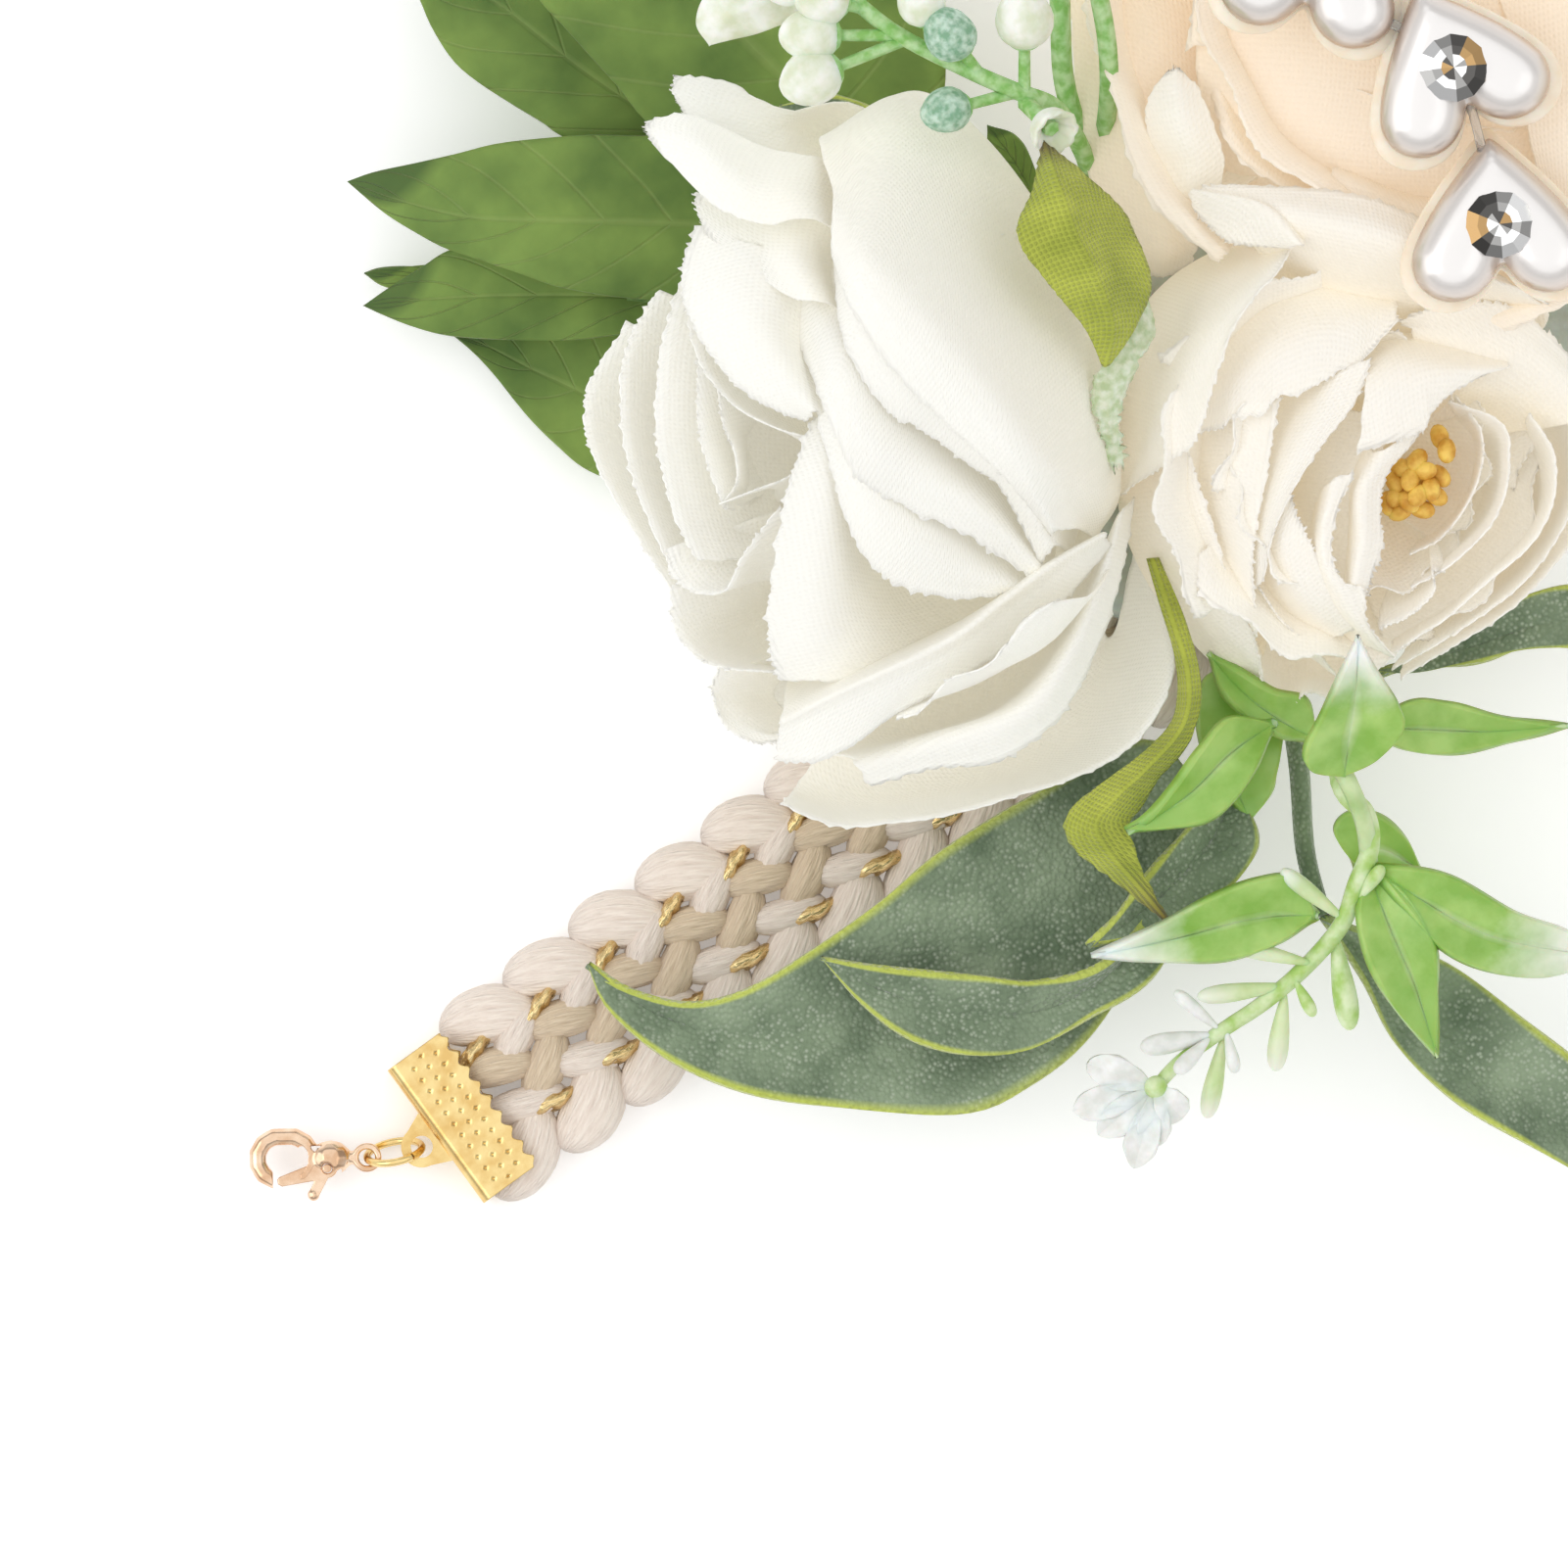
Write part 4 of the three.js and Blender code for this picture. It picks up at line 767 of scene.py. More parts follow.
# Cream rose, upright: a wide cup of overlapping petals round an open heart with stamens.
cream_outer = [
    [[(1322, 240, 24), (1269, 255, 22), (1224, 273, 20.5), (1188, 298, 20), (1158, 336, 19.5),
      (1144, 380, 19.5), (1138, 425, 19.5), (1140, 470, 20), (1144, 506, 21)],
     [(1323, 243, 31), (1290, 275, 32.8), (1250, 310, 33), (1215, 350, 32.2), (1190, 395, 31),
      (1172, 440, 29.4), (1150, 503, 25)],
     [(1322, 246, 32), (1303, 280, 35), (1284, 299, 35.6), (1262, 330, 35.8), (1249, 362, 35.6),
      (1236, 400, 35), (1230, 425, 34.4), (1215, 456, 33.2), (1188, 476, 31.4), (1168, 487, 29),
      (1147, 504, 25.4)]],
    [[(1322, 300, 27), (1380, 330, 28), (1430, 335, 28), (1500, 330, 28), (1570, 340, 27)],
     [(1270, 240, 32), (1340, 236, 35), (1410, 250, 35.6), (1480, 272, 35), (1560, 300, 33.4)],
     [(1219, 200, 31), (1240, 190, 31.6), (1293, 190, 32.8), (1350, 194, 33.4), (1400, 203, 33.8),
      (1450, 225, 33.8), (1500, 258, 33.4), (1545, 292, 32.8), (1580, 310, 31.6)]],
    [[(1300, 280, 29), (1320, 270, 30), (1330, 262, 31)],
     [(1222, 196, 31.6), (1290, 208, 34.4), (1330, 250, 35.4)],
     [(1220, 215, 30.6), (1240, 236, 31.6), (1262, 249, 32.6), (1311, 253, 34)]],
    [[(1440, 350, 30), (1500, 385, 30), (1560, 400, 29), (1610, 430, 28)],
     [(1427, 327, 30.5), (1476, 309, 31), (1514, 308, 31), (1552, 317, 30.6), (1592, 352, 29.6),
      (1630, 400, 28)]],
    [[(1560, 500, 17), (1540, 580, 16), (1430, 640, 16)],
     [(1652, 420, 22), (1640, 500, 22), (1601, 560, 22), (1545, 620, 22), (1480, 662, 22.6),
      (1430, 692, 22)]],
    [[(1150, 480, 19), (1150, 520, 18.5), (1168, 570, 18), (1200, 620, 17.6), (1245, 668, 17.4),
      (1284, 690, 17.6)],
     [(1185, 465, 26), (1185, 520, 25.6), (1203, 575, 24.6), (1232, 628, 23), (1270, 670, 21),
      (1288, 692, 19.6)],
     [(1213, 460, 30), (1224, 496, 29.6), (1239, 541, 28.6), (1254, 590, 27), (1269, 624, 25),
      (1282, 655, 23), (1290, 694, 20.4)]],
    [[(1290, 640, 16), (1310, 660, 15), (1340, 665, 15), (1380, 660, 15)],
     [(1283, 668, 21), (1288, 692, 20.5), (1303, 714, 20.4), (1322, 717, 20.6), (1334, 707, 21),
      (1363, 712, 21), (1400, 706, 21)]],
]
cream_middle = [
    [[(1420, 290, 25), (1330, 270, 24), (1260, 290, 23), (1200, 350, 22), (1180, 430, 22)],
     [(1424, 310, 31), (1370, 318, 32.4), (1310, 338, 32.6), (1260, 372, 31.6), (1210, 425, 28.6)],
     [(1427, 327, 33), (1397, 361, 33.6), (1386, 372, 33.8), (1360, 383, 34), (1330, 402, 34),
      (1303, 406, 33.8), (1288, 423, 33.4), (1258, 428, 32.8), (1243, 438, 32), (1217, 441, 30.4)]],
    [[(1180, 430, 20), (1175, 500, 19), (1200, 570, 18), (1250, 640, 18)],
     [(1250, 425, 30), (1245, 500, 29.2), (1255, 560, 27.8), (1270, 630, 24.6)],
     [(1305, 408, 33), (1296, 470, 32.8), (1285, 526, 31.8), (1279, 564, 30.6), (1280, 600, 29),
      (1284, 650, 26)]],
    [[(1300, 380, 22), (1250, 450, 21), (1240, 540, 20), (1270, 610, 20)],
     [(1350, 385, 32.4), (1305, 470, 32.2), (1282, 550, 30), (1280, 600, 27.6)],
     [(1400, 366, 34.4), (1386, 406, 34.4), (1352, 452, 34.2), (1326, 489, 33.8), (1308, 525, 33),
      (1298, 552, 32), (1290, 592, 30)]],
    [[(1280, 520, 22), (1280, 580, 20), (1320, 640, 20)],
     [(1300, 520, 30.6), (1300, 560, 30), (1320, 610, 28.2), (1360, 650, 25.6)],
     [(1318, 506, 32.6), (1326, 530, 32.4), (1341, 560, 31.8), (1363, 602, 30.6), (1384, 640, 28.6)]],
    [[(1290, 600, 18), (1310, 640, 17), (1350, 660, 17)],
     [(1281, 592, 28.2), (1296, 616, 27.6), (1311, 636, 27), (1341, 662, 25.6), (1367, 693, 23.6)]],
    [[(1560, 430, 18), (1570, 500, 17), (1530, 570, 17), (1450, 620, 17)],
     [(1600, 400, 26.4), (1612, 470, 26.8), (1600, 530, 26.8), (1560, 590, 26.4), (1510, 630, 26),
      (1460, 662, 25.4), (1424, 682, 24.6)]],
    [[(1530, 450, 19), (1540, 510, 18), (1500, 570, 18), (1430, 600, 18)],
     [(1563, 425, 29), (1586, 462, 29.4), (1586, 511, 29.6), (1563, 556, 29.4), (1514, 598, 29),
      (1476, 632, 28.4), (1446, 651, 27.8), (1420, 669, 27.2)]],
]
cream_inner = [
    [[(1330, 430, 20), (1318, 500, 19), (1310, 580, 19)],
     [(1352, 425, 27), (1338, 500, 27), (1330, 590, 25.6)],
     [(1430, 415, 31), (1404, 480, 31.6), (1398, 540, 31.6), (1392, 602, 29.8)]],
    [[(1500, 350, 26), (1420, 345, 26), (1370, 370, 26)],
     [(1540, 372, 31), (1480, 370, 33.4), (1430, 370, 34.2), (1395, 385, 34.4)],
     [(1520, 380, 32.4), (1506, 388, 33), (1480, 403, 33.6), (1461, 422, 34), (1456, 436, 34.2),
      (1440, 446, 34.4), (1420, 452, 34.6), (1386, 463, 34.4)]],
    [[(1400, 420, 24), (1370, 480, 23), (1370, 560, 23)],
     [(1402, 462, 33.6), (1385, 500, 33.6), (1384, 550, 33), (1376, 600, 31)],
     [(1458, 432, 33), (1440, 455, 33.2), (1415, 486, 33.2), (1409, 520, 33), (1411, 556, 32.4),
      (1400, 588, 31.6), (1394, 606, 30.6)]],
    [[(1340, 520, 24), (1330, 580, 22), (1360, 640, 21)],
     [(1355, 495, 33), (1345, 560, 32), (1365, 615, 30.2), (1400, 660, 27.4)],
     [(1382, 482, 33.8), (1364, 526, 33.4), (1360, 570, 32.8), (1371, 594, 32.2), (1393, 604, 31.6),
      (1396, 636, 30), (1424, 671, 28)]],
    [[(1490, 450, 20), (1500, 500, 19), (1470, 550, 19)],
     [(1480, 410, 30.6), (1533, 432, 31), (1541, 470, 31.2), (1535, 510, 31.2), (1515, 545, 31),
      (1476, 580, 30.4), (1440, 600, 29.6)]],
    [[(1470, 450, 19), (1480, 490, 18), (1450, 530, 18)],
     [(1488, 407, 29.6), (1512, 440, 30), (1512, 480, 30.2), (1495, 520, 30), (1470, 550, 29.4),
      (1440, 566, 29)]],
    [[(1440, 500, 19), (1450, 530, 19), (1420, 550, 20)],
     [(1476, 584, 29.8), (1463, 584, 30.4), (1464, 604, 30.2), (1440, 628, 29.6), (1408, 642, 29)]],
]
# Petals deeper in the cup, of which only slivers show: their layer, azimuths in the rose's own frame, cup
deep_petals = {
    "middle_petals": (1, (0, 72, 144, 216, 288), ((0.38, 0.12), (0.6, 0.34), (0.74, 0.52), (0.8, 0.6))),
    "inner_petals": (2, (36, 108, 180, 252, 324), ((0.27, 0.2), (0.4, 0.38), (0.5, 0.56), (0.53, 0.64))),
}
deep_half = 44
for layer, petals in (
    ("outer_petals", cream_outer), ("middle_petals", cream_middle), ("inner_petals", cream_inner)
):
    made = [
        pixel_petal("cream_rose", f"cream {layer} {i}", rails, cream_satin) for i, rails in enumerate(petals)
    ]
    deep, azimuths, cup = deep_petals.get(layer, (0, (), None))
    for azimuth in azimuths:
        made.append(cup_petal(
            "cream_rose", f"cream deep {layer} {azimuth}", cream_satin, deep, azimuth, deep_half, cup=cup
        ))
    bloom("cream_rose", layer, made, f"cream_rose_{layer}")


# Stamens of the cream rose: a moulded tuft of chunky golden grains on a short column, glued in its heart.
stamen_colours = ("#cf9630", "#f4cd63")
grain_size = (1.05, 0.72, 0.62)
grain_tilt = 25
stamen_column = ((1440, 490, 17), (1445, 492, 29.5))
stamen_column_half = 2.1
# Each grain's place and its turn in degrees
stamen_grains = (
    (1477, 460, 31.2, 55), (1432, 478, 31, 120), (1447, 470, 31.4, 20), (1424, 491, 30.6, 80),
    (1440, 489, 31.6, 35), (1454, 481, 31.6, 150), (1461, 499, 31.6, 65), (1466, 506, 30.8, 110),
    (1426, 506, 30.6, 30), (1438, 512, 31.2, 100), (1430, 522, 30.4, 170), (1418, 514, 30, 60),
    (1448, 506, 31.8, 15), (1470, 446, 30.4, 70), (1452, 520, 30.4, 130), (1470, 486, 30.6, 95),
)
stamen_paint, tree, shader = finish_of("moulded_golden_stamens", Roughness=0.55, Subsurface_Weight=0.15)
shader.inputs["Subsurface Scale"].default_value = 0.8 * mm
colour, pollen = speckled(tree, stamen_colours, 1.1)
tree.links.new(colour, shader.inputs["Base Color"])
raised(tree, shader, pollen, 0.15)


def ball(size, rings=10):
    """A round body one unit in radius, scaled to its three half sizes in mm."""
    bpy.ops.object.select_all(action="DESELECT")
    bpy.ops.mesh.primitive_uv_sphere_add(segments=2 * rings, ring_count=rings, radius=1)
    made = bpy.context.object
    made.data.transform(Matrix.Diagonal((*[length * mm for length in size], 1)))
    return smooth(made)


def meshed(curve):
    """Turns a curve into a piece with a mesh."""
    made = bpy.data.objects.new(curve.name, curve)
    bpy.context.scene.collection.objects.link(made)
    only(made)
    bpy.ops.object.convert(target="MESH")
    return bpy.context.object


def drawn_wire(points, radius, roundness=1, taper=1.0):
    """A round wire with a corner at each of some points in mm, closed at its ends."""
    curve = bpy.data.curves.new("wire", "CURVE")
    curve.dimensions = "3D"
    curve.bevel_depth = radius * mm
    curve.bevel_resolution = roundness
    curve.use_fill_caps = True
    spline = curve.splines.new("POLY")
    spline.points.add(len(points) - 1)
    for i, (point, place) in enumerate(zip(spline.points, points)):
        point.co = (*(Vector(place) * mm), 1)
        point.radius = 1 + (taper - 1) * i / (len(points) - 1)
    return smooth(meshed(curve))


def tube(points, radius, look=None, steps=8, taper=1.0):
    """A round stem on a smooth curve through some points in mm."""
    made = drawn_wire(through(points, steps * (len(points) - 1) + 1), radius, taper=taper)
    if look:
        made.data.materials.append(look)
    return made


tuft = []
for x, y, height, turn in stamen_grains:
    grain = ball(grain_size, 7)
    tilt = Matrix.Rotation(math.radians(turn), 4, "Z") @ Matrix.Rotation(math.radians(grain_tilt), 4, "Y")
    grain.data.transform(Matrix.Translation(at_pixel(x, y, height) * mm) @ tilt)
    tuft.append(grain)
tuft.append(tube(places(stamen_column), stamen_column_half, taper=0.8))
stamens = settle(join(tuft, "stamens"), "cream_rose_stamen_tuft", stamen_paint)
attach(stamens, "corsage")
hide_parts("cream_rose_stamens")


# Champagne rose and the second white rose: the first shows its wide smooth petals at the picture's upper
# edge, the second lies beyond its right edge. Both are cut, pressed and layered like the others.
champagne_wide = [
    [[(1262, -90, 30), (1380, -100, 33.6), (1500, -100, 34.6), (1660, -90, 34)],
     [(1228, 0, 28.6), (1340, -10, 32.6), (1470, 0, 34.2), (1660, 0, 34)],
     [(1222, 70, 28), (1330, 80, 31.4), (1470, 80, 33), (1660, 100, 33)],
     [(1233, 150, 26.4), (1330, 165, 28.6), (1450, 175, 30.2), (1660, 200, 30)],
     [(1262, 215, 23), (1340, 235, 24.5), (1460, 250, 25), (1660, 280, 26)]],
    [[(1500, -60, 33), (1600, -60, 33.4), (1700, -40, 33)],
     [(1545, 40, 34.4), (1620, 60, 34.6), (1700, 80, 33.6)],
     [(1560, 130, 33.8), (1620, 160, 33.6), (1690, 180, 32.6)],
     [(1575, 190, 32.4), (1620, 240, 31.6), (1680, 260, 30.6)]],
    [[(1240, -80, 24), (1180, -60, 24), (1120, -40, 23)],
     [(1235, 40, 25), (1170, 30, 26.6), (1096, 40, 25)],
     [(1240, 150, 24.4), (1180, 160, 26), (1110, 165, 24.4)],
     [(1225, 235, 21), (1190, 250, 21.6), (1140, 235, 21)],
     [(1215, 270, 17), (1185, 282, 17), (1150, 270, 17)]],
]
champagne_tip = [
    [(1262, 196, 27.6), (1240, 200, 27.4), (1220, 196, 27)],
    [(1250, 160, 29.6), (1218, 162, 30), (1186, 165, 28.4)],
    [(1236, 120, 30.2), (1204, 124, 30.8), (1171, 128, 29)],
    [(1222, 90, 29.6), (1200, 92, 30), (1174, 100, 29)],
    [(1208, 74, 29), (1200, 71, 29.2), (1190, 76, 29)],
]
champagne_cups = (
    None,
    ((0.38, 0.12), (0.58, 0.38), (0.66, 0.62), (0.72, 0.7)),
    ((0.27, 0.2), (0.38, 0.42), (0.42, 0.62), (0.44, 0.7)),
    ((0.16, 0.24), (0.22, 0.5), (0.21, 0.7), (0.13, 0.78)),
)
cup_layers = (
    ("outer_petals", 5, 50, 0.0),
    ("middle_petals", 5, 50, 0.5),
    ("inner_petals", 4, 58, 0.5),
    ("bud", 5, 76, 0.25),
)
# One outer petal is drawn in, clear of the cream rose
drawn_in = {("champagne_rose", 0, 3): 0.78}
for rose, look, slot, first in (
    ("champagne_rose", champagne_satin, "champagne_satin", 0),
    ("second_white_rose", white_satin, "white_satin", -20),
):
    for layer, (layer_name, count, half, offset) in enumerate(cup_layers):
        made = [
            cup_petal(
                rose, f"{rose} {layer_name} {i}", look, layer, first + 360 * (i + offset) / count, half,
                drawn_in.get((rose, layer, i), 1),
                cup=champagne_cups[layer] if rose == "champagne_rose" else None,
            )
            for i in range(count)
        ]
        if rose == "champagne_rose" and layer == 1:
            made += [pixel_petal(rose, f"wide {i}", rails, look) for i, rails in enumerate(champagne_wide)]
            made.append(pixel_petal(rose, "folded tip", champagne_tip, white_satin))
        bloom(rose, layer_name, made, f"{rose}_{layer_name}")


# Calyxes: green moulded cups under the roses, each with the spigot that its petals are threaded on and a
# stem that the glue holds. Only their rims show from the side.
calyx_green = ("#7d9a52", "#9db869")


def moulded(name, colours, roughness, grain, depth, coat=0.0):
    """Soft moulded plastic with slightly uneven colour and a faint skin texture."""
    made, tree, shader = finish_of(
        name, Roughness=roughness, Coat_Weight=coat, Coat_Roughness=0.25, Subsurface_Weight=0.15
    )
    shader.inputs["Subsurface Scale"].default_value = 1.0 * mm
    colour, skin = speckled(tree, colours, grain)
    tree.links.new(colour, shader.inputs["Base Color"])
    raised(tree, shader, skin, depth)
    return made


def rounded_copy(node, name, levels=2):
    """A merged copy of a solid of the frame with its facets rounded off."""
    source = frame["nodes"][node]
    made = bpy.data.objects.new(name, source.data.copy())
    bpy.context.scene.collection.objects.link(made)
    only(made)
    bpy.ops.object.mode_set(mode="EDIT")
    bpy.ops.mesh.select_all(action="SELECT")
    bpy.ops.mesh.remove_doubles(threshold=0.01 * mm)
    bpy.ops.object.mode_set(mode="OBJECT")
    if levels:
        finer = made.modifiers.new("rounding", "SUBSURF")
        finer.levels = levels
        finer.render_levels = levels
        apply_all(made)
    return smooth(made)


calyx_plastic = moulded("moulded_green_polyethylene", calyx_green, 0.5, 3.0, 0.1)
for rose in rose_shapes:
    calyx = settle(rounded_copy(f"{rose}_calyx", f"{rose}_cup"), f"{rose}_green_cup", calyx_plastic)
    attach(calyx, "corsage")
    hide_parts(f"{rose}_calyx")


# Fabric rose leaves: printed polyester, pressed with a midrib and side veins, each on a covered wire that
# the glue holds. Their tips are printed darker.
leaf_wall = 0.3
leaf_columns = 28
leaf_rows = 56
leaf_wire = 0.55
leaf_vein_count = 7
side_vein_half = 0.16
midrib_half = 0.06
glue_centre = Vector((8, 9, 6.15))
glue_half = Vector((33, 20, 0))
glue_gap = 0.3
# Each leaf's upper edge, midrib and lower edge in the picture, from its root to its tip
fabric_leaves = (
    ([[(820, 255, 8.6), (765, 160, 10), (700, 136, 10.6), (655, 139, 10.8), (603, 138, 10.9),
       (554, 141, 10.7), (505, 147, 10.2), (462, 158, 9.5), (423, 167, 8.6), (381, 176, 7.4),
       (355, 185, 6.4)],
      [(820, 255, 8.4), (740, 232, 9.4), (640, 226, 9.8), (560, 225, 9.8), (480, 222, 9.2), (410, 205, 7.8),
       (355, 185, 6.4)],
      [(820, 255, 8.6), (770, 305, 9.4), (700, 308, 9.9), (661, 306, 10), (615, 301, 10), (567, 292, 10),
       (530, 279, 9.8), (493, 266, 9.4), (456, 254, 8.9), (432, 242, 8.4), (395, 219, 7.2),
       (355, 185, 6.4)]],),
    ([[(790, 320, 5.7), (730, 262, 6.6), (640, 244, 7), (540, 246, 7), (490, 248, 6.8), (456, 257, 6.5),
       (429, 274, 6), (401, 291, 5.4), (371, 312, 4.4)],
      [(790, 320, 5.5), (640, 304, 6.2), (520, 302, 6.1), (430, 306, 5.4), (371, 312, 4.4)],
      [(790, 320, 5.7), (740, 336, 6.4), (646, 340, 6.8), (585, 347, 6.8), (524, 347, 6.6), (462, 343, 6.1),
       (426, 335, 5.5), (395, 323, 4.9), (371, 312, 4.4)]],
     [[(600, 300, 3.4), (500, 268, 3.8), (432, 271, 3.6), (389, 274, 3.2), (372, 279, 3)],
      [(600, 300, 3.2), (480, 288, 3.4), (420, 282, 3.2), (372, 279, 3)],
      [(600, 300, 3.4), (500, 312, 3.8), (430, 300, 3.6), (392, 292, 3.2), (372, 279, 3)]]),
    ([[(780, 430, 2.8), (720, 350, 3.2), (640, 318, 3.3), (560, 312, 3.1), (500, 322, 2.6), (455, 336, 2)],
      [(780, 430, 2.6), (650, 420, 2.9), (560, 385, 2.8), (500, 355, 2.4), (455, 336, 2)],
      [(780, 430, 2.8), (720, 490, 3.3), (660, 500, 3.5), (602, 481, 3.5), (567, 453, 3.3), (536, 422, 3.1),
       (505, 383, 2.8), (478, 355, 2.4), (455, 336, 2)]],),
    ([[(810, 200, 5.4), (760, 100, 7.6), (680, 20, 9), (590, -35, 9.2), (490, -62, 8.4), (410, -60, 7.3)],
      [(810, 200, 5.2), (700, 140, 7.4), (600, 75, 8.4), (510, 5, 8.4), (410, -60, 7.3)],
      [(810, 200, 5.4), (700, 195, 7), (640, 172, 8), (574, 139, 8.8), (554, 125, 9), (524, 107, 9.2),
       (487, 83, 9.3), (462, 61, 9.2), (441, 28, 8.9), (429, 0, 8.5), (415, -30, 7.9), (410, -60, 7.3)]],),
    ([[(884, 175, 9), (950, 130, 10.4), (965, 60, 11.6), (935, -10, 12.4), (850, -90, 12.8), (720, -145, 12),
       (589, -152, 10.6)],
      [(884, 175, 8.8), (810, 90, 10.6), (740, 20, 12), (665, -60, 12), (589, -152, 10.6)],
      [(884, 175, 9), (790, 180, 9.6), (700, 150, 10.8), (658, 122, 11.8), (634, 92, 12.4), (606, 61, 12.8),
       (573, 24, 13), (551, 0, 13), (530, -40, 12.8), (535, -100, 12.2), (589, -152, 10.6)]],),
)


def glue_rim(towards, radius):
    """The point just outside the glue's rim where a stem of that radius comes out."""
    away = towards - glue_centre
    angle = math.atan2(away.y / glue_half.y, away.x / glue_half.x)
    off = glue_gap + radius
    return Vector((
        glue_centre.x + (glue_half.x + off) * math.cos(angle),
        glue_centre.y + (glue_half.y + off) * math.sin(angle),
        glue_centre.z,
    ))


def evened(points, count):
    """A smooth curve through some picture points, as that many points at equal distances."""
    dense = through(places(points), 240)
    gone = np.concatenate([[0], np.cumsum(np.linalg.norm(np.diff(dense, axis=0), axis=1))])
    at = np.linspace(0, gone[-1], count)
    return np.stack([np.interp(at, gone, dense[:, k]) for k in range(3)], axis=1)


def outlined(name, edges, look, wall=leaf_wall, tear=0.0, wave=0.2):
    """A leaf whose edge, midrib and other edge are given from its root to its tip."""
    first, rib, last = (evened(points, leaf_rows + 1) for points in edges)
    across = np.linspace(-1, 1, leaf_columns + 1)[None, :, None]
    side = np.where(across < 0, first[:, None], last[:, None])
    place = rib[:, None] + (side - rib[:, None]) * np.abs(across)
    start = random.Random(name).uniform(0, 6.3)
    share = np.linspace(0, 1, leaf_rows + 1)
    ripple = wave * np.sin(share * 15 + start) * np.sin(math.pi * share)
    place[..., 2] += ripple[:, None] * np.abs(across[..., 0]) ** 3
    return sheet(name, place, wall, look, tear)


def veined(name, colours, tip, roughness, vein_colour, vein_depth, print_grain):
    """A leaf's finish: mottled print, darker past a slanting line near the tip, with pressed veins."""
    made, tree, shader = finish_of(name, Roughness=roughness, Sheen_Weight=0.1, Subsurface_Weight=0.08)
    shader.inputs["Subsurface Scale"].default_value = 0.8 * mm
    colour, mottle = speckled(tree, colours, print_grain, detail=9.0, low=0.3, high=0.68)
    along = put(tree, "Attribute", attribute_name="root_to_edge")
    wide = put(tree, "Attribute", attribute_name="middle_to_side")
    off = put(tree, "Math", {0: wide.outputs["Fac"]}, operation="ABSOLUTE")
    slant = put(tree, "Math", {0: off, 1: -0.22, 2: along.outputs["Fac"]}, operation="MULTIPLY_ADD")
    phase = put(tree, "Math", {0: slant, 1: leaf_vein_count * math.pi}, operation="MULTIPLY")
    wave = put(tree, "Math", {0: phase}, operation="SINE")
    bare = put(tree, "Math", {0: wave}, operation="ABSOLUTE")
    side_vein, midrib = (
        put(tree, "MapRange", {"Value": line, "From Max": half, "To Min": 1.0, "To Max": 0.0})
        for line, half in ((bare, side_vein_half), (off, midrib_half))
    )
    vein = put(tree, "Math", {0: side_vein, 1: midrib}, operation="MAXIMUM")
    faint = put(tree, "Math", {0: vein, 1: 0.16}, operation="MULTIPLY")
    tip_line = put(tree, "Math", {0: wide.outputs["Fac"], 1: -0.07, 2: along.outputs["Fac"]},
                   operation="MULTIPLY_ADD")
    dark_share = put(tree, "MapRange", {"Value": tip_line, "From Min": 0.85, "From Max": 0.9, "To Max": 0.75})
    tipped = put(tree, "Mix", {0: dark_share, 6: colour, 7: linear(tip)}, data_type="RGBA")
    lined = put(tree, "Mix", {0: faint, 6: tipped.outputs[2], 7: linear(vein_colour)}, data_type="RGBA")
    tree.links.new(lined.outputs[2], shader.inputs["Base Color"])
    sunk = put(tree, "Math", {0: vein, 1: -1.0, 2: mottle}, operation="MULTIPLY_ADD")
    raised(tree, shader, sunk, vein_depth)
    return made


leaf_print = veined("printed_green_polyester", ("#4c6a2c", "#84a04c"), "#3c5826", 0.8, "#b3c07c", 0.08, 9.0)
leaf_wrap = moulded("green_paper_covered_wire", ("#5b7a3e", "#7d9a58"), 0.8, 0.8, 0.1)
for i, outlines in enumerate(fabric_leaves):
    blades = [outlined(f"leaf {i} {k}", edges, leaf_print, wave=0.3) for k, edges in enumerate(outlines)]
    root = at_pixel(*outlines[0][1][0])
    line = [glue_rim(root, leaf_wire), root, at_pixel(*outlines[0][1][1])]
    stem = tube(line, leaf_wire, leaf_wrap, taper=0.6)
    leaf = settle(join([*blades, stem], "leaf"), f"fabric_rose_leaf_{i + 1}")
    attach(leaf, "corsage")
    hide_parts(f"fabric_leaf_{i + 1}")


# Frosted leaf sprays: leaves cut from stiff flocked foam sheet with a pale frost and a yellow-green rim round
# each leaf, on a stem flocked like them.
frosted_wall = 0.7
frosted_wire = 0.9
frost_patch = 3.5
frost_speck = 0.4
frost_colour = "#c3cdb9"
